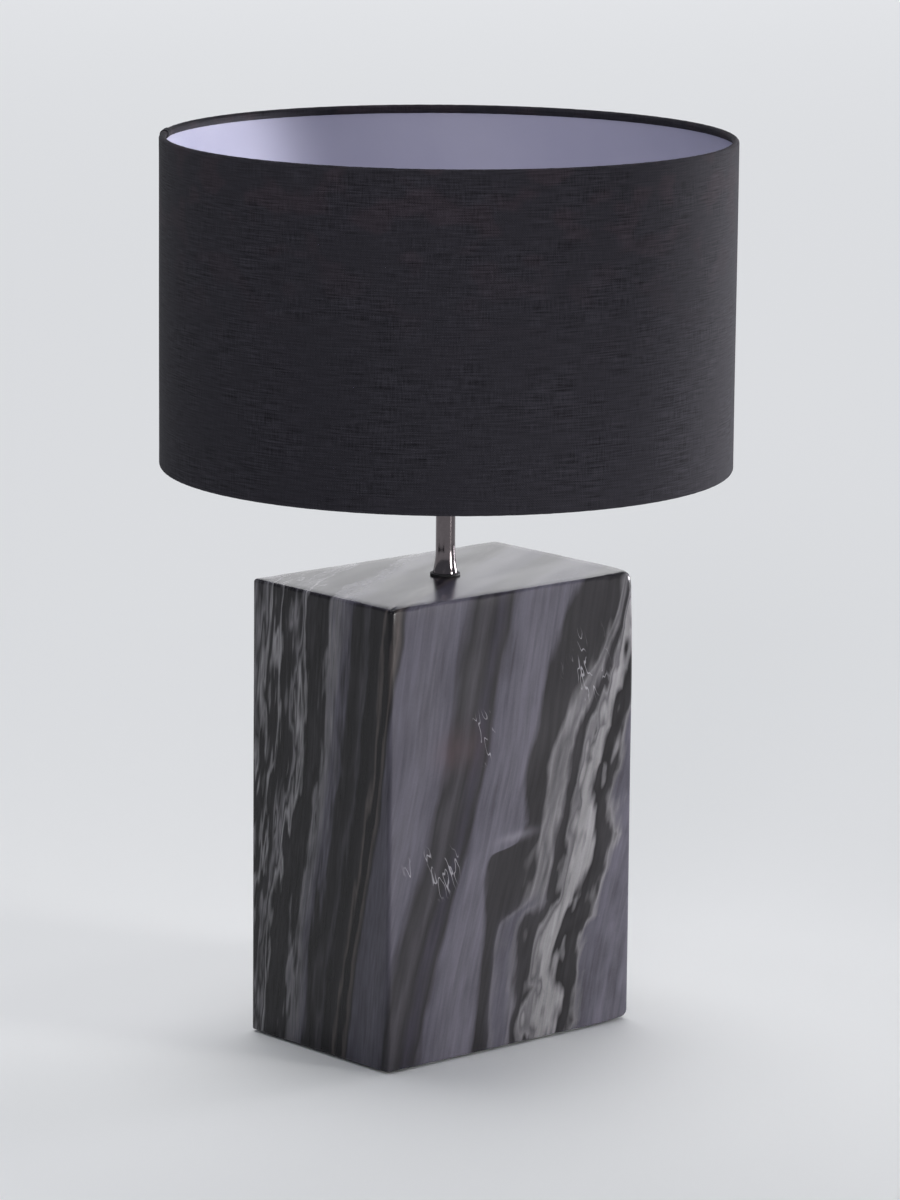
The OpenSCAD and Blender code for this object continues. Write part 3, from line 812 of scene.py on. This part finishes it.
# %% Threads and ribs
def thread_wave(pitch, depth, start, end):
    """Takes depth * (1 - cos(2 pi * height / pitch - angle)) / 2 off the radius between start and end, fading
    out over half a pitch at both ends."""
    def widen(angle, r, z):
        fade = np.clip((z - start) / (pitch / 2), 0, 1) * np.clip((end - z) / (pitch / 2), 0, 1)
        return fade * depth * (np.cos(2 * np.pi * z / pitch - angle) - 1) / 2
    return widen


def grip_ribs(count, depth, start):
    """Adds a row of upright ribs above a height: depth times the square root of the positive part of
    cos(count * angle)."""
    def widen(angle, r, z):
        outside = (r > 22.5) & (z > start)
        return np.where(outside, depth * np.clip(np.cos(count * angle), 0, 1) ** 0.5, 0.0)
    return widen


# %% Cup, shell and clamp ring
cup_low = low("holder_cap")[2]
tube_hole_r, collar_r, body_r_out, cup_inside_r = 5.05, 8.0, 18.5, 16.7
cup_wide_z, cup_floor_z, joint_z = seat_z - 24, seat_z - 30.5, seat_z - 11
a = np.linspace(0, np.pi / 2, 20)
cup_curve = np.column_stack([collar_r + (body_r_out - collar_r) * np.sin(a), cup_wide_z - 8.5 * np.cos(a)])
cup_outline = np.concatenate([
    [[tube_hole_r, cup_low], [collar_r - 0.4, cup_low], [collar_r, cup_low + 0.4]], cup_curve,
    [[body_r_out, joint_z - 0.3], [body_r_out - 0.3, joint_z], [cup_inside_r, joint_z],
     [cup_inside_r, cup_wide_z], [9, cup_floor_z], [tube_hole_r, cup_floor_z]]])
cup = turned("holder_cup_moulding", cup_outline, ease=0)
fit(cup, holder_black, "lamp_base", ["holder_cap"])

wall_z = np.linspace(seat_z + 2.5, seat_z + 23, 70)
shell_inside_r, shoulder_r, thread_r, shell_top = 16.8, 23.5, 19.65, seat_z + 24
shell_outline = np.concatenate([
    eased([[shell_inside_r, joint_z], [body_r_out, joint_z], [body_r_out, seat_z - 3.5], [23, seat_z - 2.5],
           [shoulder_r, seat_z - 2], [shoulder_r, seat_z], [19.6, seat_z]], 0.3, closed=False),
    np.column_stack([np.full(70, thread_r), wall_z]), [[18.7, shell_top], [shell_inside_r, shell_top]]])
outside_thread = thread_wave(2, 0.55, seat_z + 3, seat_z + 22)
shell = turned("holder_shell_moulding", shell_outline, ease=0, widen=lambda angle, r, z: np.where(
    (r > 19.5) & (r < 20), outside_thread(angle, r, z), 0))
fit(shell, holder_black, "lamp_base", ["holder_shell"])

clamp_low, clamp_high = low("shade_clamp_ring")[2], high("shade_clamp_ring")[2]
clamp_bore, clamp_flange, clamp_body, flange_z = 20.1, 28.0, 25.0, clamp_low + 3
clamp_outline = eased([[clamp_bore, clamp_low], [clamp_flange, clamp_low], [clamp_flange, flange_z],
                       [clamp_body, flange_z], [clamp_body, clamp_high], [clamp_bore, clamp_high]], 0.5, 5)
ribs = grip_ribs(24, 0.6, clamp_low + 3.4)
clamp = turned("clamp_ring_moulding", clamp_outline, steps=288, ease=0,
               widen=lambda angle, r, z: np.where(r < 26, ribs(angle, r, z), 0))
fit(clamp, holder_black, "clamp_ring", ["shade_clamp_ring"])
print("lampholder seat at", seat_z, "mm; clamp ring", clamp_low, "to", clamp_high)

# %% [markdown]
# ## The bulb
#
# The bulb sits low in the shade and is off. Its opal globe is a thin shell that meets the housing at a
# fine groove, and its screw cap is pressed sheet metal with a true climbing thread.

# %% Globe, housing and screw cap
globe_low, globe_top = low("bulb_globe")[2], high("bulb_globe")[2]
globe_r = high("bulb_globe")[0]
globe_mid, globe_seat_r = globe_top - globe_r, globe_r - 2.5
t, a = np.linspace(0, 1, 16), np.linspace(0, np.pi / 2, 36)[1:]
globe_out = np.concatenate([
    np.column_stack([globe_seat_r + 2.5 * np.sin(t * np.pi / 2), globe_low + (globe_mid - globe_low) * t]),
    np.column_stack([globe_r * np.cos(a), globe_mid + globe_r * np.sin(a)])])
globe_in = np.column_stack([np.clip(globe_out[::-1, 0] - 1.2 * np.clip(globe_out[::-1, 0], 0, 1), 0, None),
                            np.minimum(globe_out[::-1, 1], globe_top - 1.2)])
globe_out[-1, 0] = globe_in[0, 0] = 0
globe = turned("bulb_globe_opal", np.concatenate([globe_out, globe_in]), ease=0)
fit(globe, opal, "bulb", ["bulb_globe"])

cap_top, housing_top = high("bulb_screw_cap")[2], high("bulb_housing")[2]
t = np.linspace(0, 1, 28)
body_r = 13.7 + (globe_seat_r - 13.7) * (1 - np.cos(np.pi * t)) / 2
body_z = cap_top + (housing_top - 0.4 - cap_top) * t
housing_outline = np.concatenate([[[0, cap_top]], np.column_stack([body_r, body_z]),
                                  [[globe_seat_r - 0.5, housing_top], [globe_seat_r - 4, housing_top],
                                   [globe_seat_r - 4, housing_top - 1.2]],
                                  np.column_stack([body_r - 1.5, body_z])[-2:0:-1], [[0, cap_top + 1.5]]])
housing = turned("bulb_housing_moulding", housing_outline, ease=0, closed=False)
fit(housing, housing_white, "bulb", ["bulb_housing"])

cap_low = low("bulb_screw_cap")[2]
cap_z = np.linspace(cap_low, cap_top, 90)
cap_r, sheet_t = 13.1, 0.35
cap_outline = np.concatenate([
    [[0, cap_low]], np.column_stack([np.full(90, cap_r), cap_z]),
    np.column_stack([np.full(90, cap_r - sheet_t), cap_z[::-1]])[:-1], [[0, cap_low + sheet_t]]])
cap_thread = thread_wave(3.6, 1.0, cap_low, cap_top - 3)
screw_cap = turned("bulb_screw_cap_nickel", cap_outline, ease=0, closed=False,
                   widen=lambda angle, r, z: np.where(r > 5, cap_thread(angle, r, z), 0))
fit(screw_cap, nickel, "bulb", ["bulb_screw_cap"])
print("bulb", round(2 * globe_r, 1), "mm across, top at", globe_top)


# %% [markdown]
# ## The shade's wire frame
#
# Two wire rings hold the drum open, and three arms run in from the lower ring to the flat fitter ring.
# Each is a circle carried along a path, and at a weld the wire swells into a small bead.


# %% Wires
def wire_ring(name, z, nodes):
    """A circle of the wire's radius carried round a larger circle at height z."""
    round_ring = np.linspace(0, 2 * np.pi, 256, endpoint=False)[:, None]
    round_wire = np.linspace(0, 2 * np.pi, 20, endpoint=False)[None, :]
    r = ring_r + wire_r * np.cos(round_wire)
    points = np.stack(np.broadcast_arrays(r * np.cos(round_ring), r * np.sin(round_ring),
                                          z + wire_r * np.sin(round_wire)), axis=-1)
    ring = make_mesh(name, points, grid_quads(256, 20, True, True))
    return fit(ring, white_wire, "shade", nodes)


wire_ring("wire_ring_top", top_wire_z, ["shade_top_ring"])
wire_ring("wire_ring_bottom", low_wire_z, ["shade_bottom_ring"])

fitter_low, fitter_high = low("shade_fitter_ring")[2], high("shade_fitter_ring")[2]
fitter_r = high("shade_fitter_ring")[0]
fitter = turned("fitter_ring_steel", [[20.4, fitter_low], [fitter_r, fitter_low], [fitter_r, fitter_high],
                                      [20.4, fitter_high]], ease=0.35)
fit(fitter, white_wire, "shade", ["shade_fitter_ring"])

arm_in_r, arm_out_r = fitter_r - 1, ring_r
arm_in_z = fitter_low - 0.5
ARM_STEPS, WIRE_STEPS = 90, 18
arm_t = np.linspace(0, 1, ARM_STEPS)
bead = 0.55 * np.exp(-((arm_t - 0.012) / 0.012) ** 2) + 0.35 * np.exp(-((arm_t - 0.985) / 0.010) ** 2)
taper = np.sqrt(np.clip(1 - np.clip(1 - arm_t / 0.008, 0, 1) ** 2, 0, 1)) * np.sqrt(
    np.clip(1 - np.clip((arm_t - 0.992) / 0.008, 0, 1) ** 2, 0, 1))
arm_radius = (wire_r + bead) * taper
run, drop = arm_out_r - arm_in_r, low_wire_z - arm_in_z
slope = math.hypot(run, drop)
section = np.linspace(0, 2 * np.pi, WIRE_STEPS, endpoint=False)[None, :]
arm_r = arm_in_r + run * arm_t[:, None] - arm_radius[:, None] * np.cos(section) * drop / slope
arm_z = arm_in_z + drop * arm_t[:, None] + arm_radius[:, None] * np.cos(section) * run / slope
arm_side = arm_radius[:, None] * np.sin(section)
arm_turns = np.radians(90 + 120 * np.arange(3))[:, None, None]
arm_points = np.stack([arm_r * np.cos(arm_turns) - arm_side * np.sin(arm_turns),
                       arm_r * np.sin(arm_turns) + arm_side * np.cos(arm_turns),
                       np.broadcast_to(arm_z, (3, *arm_z.shape))], axis=-1)
one_arm = grid_quads(ARM_STEPS, WIRE_STEPS, False, True)
arm_faces = np.concatenate([one_arm + k * ARM_STEPS * WIRE_STEPS for k in range(3)])
arms = make_mesh("fitter_arms_wire", arm_points, arm_faces)
fit(arms, white_wire, "shade", ["shade_fitter_arms"])
print("frame: rings", round(2 * ring_r, 1), "mm across; arms drop", round(-drop, 1), "mm")

# %% [markdown]
# ## The cloth
#
# The shade's cover is one strip of slubbed cotton, wrapped into a drum. Its two long edges fold round the
# wire rings and are tucked in, and its ends overlap by 12 mm at the back left. The strip's section is a
# single path: up inside the lower wire, round it, up the outside, over the top wire and down inside. That
# path is carried round the drum and a little further, and the last stretch climbs one thickness to lie
# over the first. A cylinder with a rim would have no fold and no seam. A cloth simulation would add
# nothing, because the cloth is pulled tight.

# %% The section of the strip
CLOTH_T = 0.6
wrap_r = wire_r + 0.05 + CLOTH_T / 2
wall_r = shade_r - CLOTH_T / 2
tuck = 5.2
wrap = np.linspace(0, np.pi, 15)
low_wrap = np.column_stack([ring_r - wrap_r * np.cos(wrap), low_wire_z - wrap_r * np.sin(wrap)])
top_wrap = np.column_stack([ring_r + wrap_r * np.cos(wrap), top_wire_z + wrap_r * np.sin(wrap)])
tuck_in = np.array([[lining_r - 0.9, shade_low + tuck], [lining_r - 1.4, shade_low + tuck - 0.5],
                    [ring_r - wrap_r + 0.4, low_wire_z + 1.4]])
tuck_top = np.array([[ring_r - wrap_r + 0.4, top_wire_z - 1.4], [lining_r - 1.4, shade_top - tuck + 0.5],
                     [lining_r - 0.9, shade_top - tuck]])
wall = np.column_stack([np.full(60, wall_r), np.linspace(low_wire_z + 2, top_wire_z - 2, 60)])
middle_line = np.concatenate([tuck_in, low_wrap, wall, top_wrap, tuck_top])
tangent = np.gradient(middle_line, axis=0)
tangent /= np.linalg.norm(tangent, axis=1)[:, None]
normal = np.column_stack([tangent[:, 1], -tangent[:, 0]])
distance = np.concatenate([[0], np.cumsum(np.linalg.norm(np.diff(middle_line, axis=0), axis=1))])
print("the strip was cut", round(float(distance[-1]), 1), "mm wide")

# %% Carry the section round the drum
OVERLAP = 12.0
seam_angle = np.radians(131)
full_way = 2 * np.pi + OVERLAP / shade_r
turns = seam_angle + np.linspace(0, full_way, 420)
way_round = (turns - seam_angle) * shade_r
CLIMB, CLIMB_LENGTH = CLOTH_T * 1.05, 5.0  # the last stretch rises this much, over this length
climb = CLIMB * np.clip((way_round - (2 * np.pi * shade_r - CLIMB_LENGTH)) / CLIMB_LENGTH, 0, 1)
climb = climb * climb * (3 * CLIMB - 2 * climb) / CLIMB ** 2
loop_r = np.concatenate([middle_line[:, 0] + normal[:, 0] * CLOTH_T / 2,
                         (middle_line[:, 0] - normal[:, 0] * CLOTH_T / 2)[::-1]])
loop_z = np.concatenate([middle_line[:, 1] + normal[:, 1] * CLOTH_T / 2,
                         (middle_line[:, 1] - normal[:, 1] * CLOTH_T / 2)[::-1]])
loop_out = np.concatenate([normal, normal[::-1]])
loop_flat = np.concatenate([distance, distance[::-1]])
height_share = np.clip((loop_z - low_wire_z) / (top_wire_z - low_wire_z), 0, 1)
slack = 0.18 * np.sin(np.pi * height_share)[None, :] * wander(
    turns[:, None] * 5 + 0.4, turns[:, None] * 11 + height_share * 3, turns[:, None] * 17 - height_share * 5)
pucker = 0.07 * wander(turns[:, None] * 67, turns[:, None] * 113 + 1, turns[:, None] * 151) * (
    np.abs(height_share - 0.5)[None, :] > 0.47)
grow = climb[:, None] + slack + pucker
strip_r = loop_r + loop_out[:, 0] * grow
strip_z = loop_z + loop_out[:, 1] * grow
turn_column = turns[:, None]
strip_points = np.stack([strip_r * np.cos(turn_column), strip_r * np.sin(turn_column), strip_z], axis=-1)
around, section_count = strip_points.shape[:2]
flat_mm = np.stack(np.broadcast_arrays(way_round[:, None], loop_flat[None, :]), axis=-1)
flat_place = flat_mm.reshape(-1, 2) * MM
half_count = section_count // 2
first_end = [[k, k + 1, section_count - 2 - k, section_count - 1 - k] for k in range(half_count - 1)]
last_end = [[v + (around - 1) * section_count for v in face] for face in first_end]
strip_faces = np.concatenate([grid_quads(around, section_count, False, True), first_end, last_end])
cover = make_mesh("shade_cover_cloth", strip_points, strip_faces, flat_place, sharp_deg=50)
print("cover:", around, "places round,", section_count, "points in each section")

# %% [markdown]
# ## The weave
#
# The cloth is a plain weave of uneven threads. One thread passes over and under the next, which is the
# product of two waves, one along each thread direction. Slubs, the thick places in a thread, are long
# thin noise: stretched along the warp for one, and along the weft for the other. The pattern reads the
# flat map, so it follows the cloth round the wires and shows the overlap as two layers.

# %% Slubbed cotton
THREAD_MM = 0.7
cloth = Finish("slubbed_black_cotton")
flat = cloth.node("ShaderNodeUVMap", {"uv_map": "flat"})
apart = cloth.node("ShaderNodeSeparateXYZ", values={0: flat}).socket.node
weft_way, warp_way = [Signal(cloth, s) * 1000 for s in apart.outputs[:2]]


def wave(value):
    return cloth.node("ShaderNodeMath", {"operation": "SINE"}, {0: value})


crossings = wave(weft_way * (math.pi / THREAD_MM)) * wave(warp_way * (math.pi / THREAD_MM)) * 0.5 + 0.5
weft_slubs = cloth.noise(cloth.vector(weft_way / 18, warp_way / 0.85, 0.0), 1.0, 2.5)
warp_slubs = cloth.noise(cloth.vector(weft_way / 0.85, warp_way / 9, 5.0), 1.0, 2.5)
patchy = cloth.noise(cloth.vector(weft_way / 40, warp_way / 30, 9.0), 1.0, 3.0)
reddish = cloth.noise(cloth.vector(weft_way / 30, warp_way / 22, 14.0), 1.0, 1.5)
strength = cloth.step(patchy, 0.35, 0.65, 0.35, 1.0)
thread_tone = 1 + ((weft_slubs - 0.5) * 2.5 + (warp_slubs - 0.5) * 1.4) * strength + (crossings - 0.5) * 0.3
# Painted light: towards the top of the drum the cloth's reddish patches, the cotton's own tone, are painted
# lighter, standing in for the stronger light on the shade's upper part.
painted_top_light_mask = cloth.step(warp_way, 80.0, 210.0)
reddish_patches_and_painted_top_light = cloth.step(reddish, 0.50, 0.62) * painted_top_light_mask
cloth_base = cloth.mixed(reddish_patches_and_painted_top_light * 0.8, (0.0245, 0.0232, 0.0288), (0.0325, 0.0260, 0.0320))
cloth_colour = cloth.mixed(1.0, cloth_base, cloth.vector(thread_tone, thread_tone, thread_tone), "MULTIPLY")
cotton = cloth.surface(
    base_color=cloth_colour,
    roughness=0.86,
    specular_ior_level=0.08,
    sheen_weight=0.02,
    sheen_roughness=0.45,
    normal=cloth.bumped(crossings * 0.5 + weft_slubs * 0.6 + warp_slubs * 0.5, 0.18, 0.7))
fit(cover, cotton, "shade", ["shade_cloth", "shade_top_hem", "shade_bottom_hem"])

# %% [markdown]
# ## The lining
#
# Inside the cloth is a thin styrene sheet, which keeps the drum stiff and throws the light back. It butts
# at the same place as the cloth's join. The sheet is smooth and slightly satin. Such a lining is usually
# white. The colour here is darker and bluer: that is painted shade and painted bluish light, set to suit
# this script's lights, and isn't the material's own.

# %% Lining sheet
lining_low, lining_high = low("shade_lining")[2], high("shade_lining")[2]
lining_t = 0.4
lining_z = np.linspace(lining_low + 4, lining_high - 4, 24)
inner_side = np.column_stack([np.full(24, lining_r - lining_t), lining_z[::-1]])
outer_side = np.column_stack([np.full(24, lining_r), lining_z])
lining_loop = np.concatenate([[[lining_r - lining_t, lining_low], [lining_r, lining_low]], outer_side,
                              [[lining_r, lining_high], [lining_r - lining_t, lining_high]], inner_side])
LINING_STEPS, HALF_GAP = 320, 0.0002
lining_turns = seam_angle + np.linspace(HALF_GAP, 2 * np.pi - HALF_GAP, LINING_STEPS)[:, None]
loop_across, loop_up = lining_loop[None, :, 0], lining_loop[None, :, 1]
lining_points = np.stack(np.broadcast_arrays(
    loop_across * np.cos(lining_turns), loop_across * np.sin(lining_turns), loop_up), axis=-1)
lining_count = len(lining_loop)
end_caps = [list(range(start, start + lining_count)) for start in (0, (LINING_STEPS - 1) * lining_count)]
lining_faces = grid_quads(LINING_STEPS, lining_count, False, True).tolist() + end_caps
lining = make_mesh("shade_lining_sheet", lining_points, lining_faces, sharp_deg=40)

paper = Finish("white_styrene_lining")
px, py, pz = paper.place()
paper_place = paper.vector(px, py, pz)
shadowing = paper.noise(paper_place, 0.02, 2.0)
fine = paper.noise(paper_place, 0.9, 3.0)
# Painted shade and painted bluish light: the lining's grey-blue colour stands in for a white sheet in bluish
# shade.
white_lining = paper.surface(
    base_color=paper.ramp(shadowing, [(0.3, (0.355, 0.352, 0.475)), (0.7, (0.385, 0.38, 0.50))]),
    roughness=paper.step(fine, 0.3, 0.7, 0.42, 0.54),
    normal=paper.bumped(fine, 0.03, 0.4))
fit(lining, white_lining, "shade", ["shade_lining"])

# %% [markdown]
# ## Pieces inside the lamp
#
# The threaded tube, its nut and washers, the plate and its screws, and the contacts are right as
# engineered and mostly hidden. They keep their shapes, and only their surfaces change.

# %% Finishes for the inside pieces
inside = {
    "base_plate": black_steel, "plate_screws": zinc, "plate_screw_inserts": brass, "threaded_tube": zinc,
    "tube_washer": zinc, "tube_lock_washer": zinc, "tube_nut": brass, "holder_grub_screw": zinc,
    "holder_core": porcelain, "holder_screw_shell": brass, "holder_centre_contact": brass,
    "holder_terminal_screws": brass, "bulb_tip_contact": nickel, "bulb_insulator": insulator_black,
    "bulb_driver_board": board_green, "bulb_led_board": led_white}
for node, finish in inside.items():
    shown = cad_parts[node]
    shown.data.materials.clear()
    shown.data.materials.append(finish)
print("inside pieces finished:", len(inside))

# %% [markdown]
# ## The studio
#
# A large pale floor under an even, soft sky light. A soft box at the front right lights the wide face of
# the block, and a small low lamp close to the block shines up through the bottom of the shade onto its
# lining. A wide soft box far behind on the right gives the sheen on top of the stone, one at the right
# the bright edge of the cloth, and a high one at the front left the slow fading of the cloth from top to
# bottom, which the cloth's colour also paints in as painted light. They are set for the scene's own
# camera, so the patch of light in the shade can look unexplained from elsewhere.

# %% Floor
floor_size = 30.0
floor_mesh = bpy.data.meshes.new("studio_floor")
floor_corners = [(x * floor_size, y * floor_size, 0) for x, y in ((-1, -1), (1, -1), (1, 1), (-1, 1))]
floor_mesh.from_pydata(floor_corners, [], [(0, 1, 2, 3)])
floor = bpy.data.objects.new("studio_floor", floor_mesh)
bpy.context.scene.collection.objects.link(floor)
floor_finish = Finish("pale_floor")
floor_mesh.materials.append(floor_finish.surface(base_color=(0.86, 0.86, 0.86), roughness=0.9,
                                                 specular_ior_level=0.1))
print("floor:", 2 * floor_size, "m across")


# %% Lights
def aimed(lamp, where, aim):
    """A light placed at a point in metres, turned to face another point, and hidden from the camera."""
    holder = bpy.data.objects.new(lamp.name, lamp)
    holder.location = where
    holder.rotation_euler = (Vector(aim) - Vector(where)).to_track_quat("-Z", "Y").to_euler()
    holder.visible_camera = False
    bpy.context.scene.collection.objects.link(holder)


def soft_box(name, where, aim, size, power, colour, spread_deg):
    lamp = bpy.data.lights.new(name, "AREA")
    lamp.shape, lamp.size, lamp.size_y = "RECTANGLE", size[0], size[1]
    lamp.energy, lamp.color, lamp.spread = power, colour, math.radians(spread_deg)
    aimed(lamp, where, aim)


soft_box("wide_face", (0.75, -1.75, 0.22), (0, 0, 0.08), (0.5, 0.5), 1.15, (1.0, 0.99, 0.98), 30)
soft_box("cloth_edge", (1.18, -0.13, 0.46), (0, 0, 0.46), (0.5, 0.5), 1.3, (0.97, 0.95, 1.0), 40)
soft_box("cloth_front", (-1.6, -1.4, 1.3), (0, 0, 0.72), (0.8, 0.8), 0.85, (1.0, 0.96, 0.98), 30)
soft_box("top_sheen", (8.0, 9.0, 2.7), (0, 0, 0.3), (9.2, 4.6), 74, (1.0, 0.99, 1.0), 120)

into_shade = bpy.data.lights.new("into_shade", "SPOT")
into_shade.energy, into_shade.shadow_soft_size = 28, 0.02
into_shade.spot_size, into_shade.spot_blend = math.radians(21), 0.8
aimed(into_shade, (0.274, -0.132, 0.10), (-0.075, 0.152, 0.53))

sky_light = bpy.data.lights.new("sky_light", "SUN")
sky_light.energy, sky_light.angle = 1.7, math.radians(50)
aimed(sky_light, (0.3, 0.5, 2.0), (0, 0, 0))
print("lights:", len(bpy.data.lights))

# %% World
world = bpy.data.worlds.new("studio_dome")
bpy.context.scene.world = world
world.use_nodes = True
dome = world.node_tree
dome.nodes.clear()
fill = dome.nodes.new("ShaderNodeBackground")
fill.inputs["Color"].default_value = (0.84, 0.90, 1.0, 1)
fill.inputs["Strength"].default_value = 0.28
backdrop = dome.nodes.new("ShaderNodeBackground")
backdrop.inputs["Strength"].default_value = 0.9
seen = dome.nodes.new("ShaderNodeLightPath")
chosen = dome.nodes.new("ShaderNodeMixShader")
dome_out = dome.nodes.new("ShaderNodeOutputWorld")
dome.links.new(seen.outputs["Is Camera Ray"], chosen.inputs[0])
dome.links.new(fill.outputs[0], chosen.inputs[1])
dome.links.new(backdrop.outputs[0], chosen.inputs[2])
dome.links.new(chosen.outputs[0], dome_out.inputs[0])

# %% [markdown]
# ## The camera
#
# A long lens from a little above, turned to show two faces of the block. The camera rolls by half a
# degree, and stands a few millimetres off the line through the lamp's axis.

# %% Camera
turn, rise, away, roll = math.radians(-41.55), math.radians(11.22), 3.414, math.radians(0.54)
aim = Vector((0, 0, 0.2717))
back = Vector((math.sin(turn) * math.cos(rise), -math.cos(turn) * math.cos(rise), math.sin(rise)))
right = (-back).cross(Vector((0, 0, 1))).normalized()
up = right.cross(-back)
right, up = right * math.cos(roll) + up * math.sin(roll), up * math.cos(roll) - right * math.sin(roll)
lens = bpy.data.cameras.new("camera")
lens.lens, lens.sensor_width = 167.0, 36.0
lens.clip_start, lens.clip_end = 0.1, 100
camera = bpy.data.objects.new("camera", lens)
off_right, off_down = 3.1 * MM, 2.0 * MM
place = aim + back * away + right * off_right - up * off_down
camera.matrix_world = Matrix.Translation(place) @ Matrix((right, up, back)).transposed().to_4x4()
bpy.context.scene.collection.objects.link(camera)
bpy.context.scene.camera = camera
bpy.context.scene.view_settings.view_transform = "Standard"
print("camera:", lens.lens, "mm lens,", away, "m away")

# %% The end
bpy.context.view_layer.update()
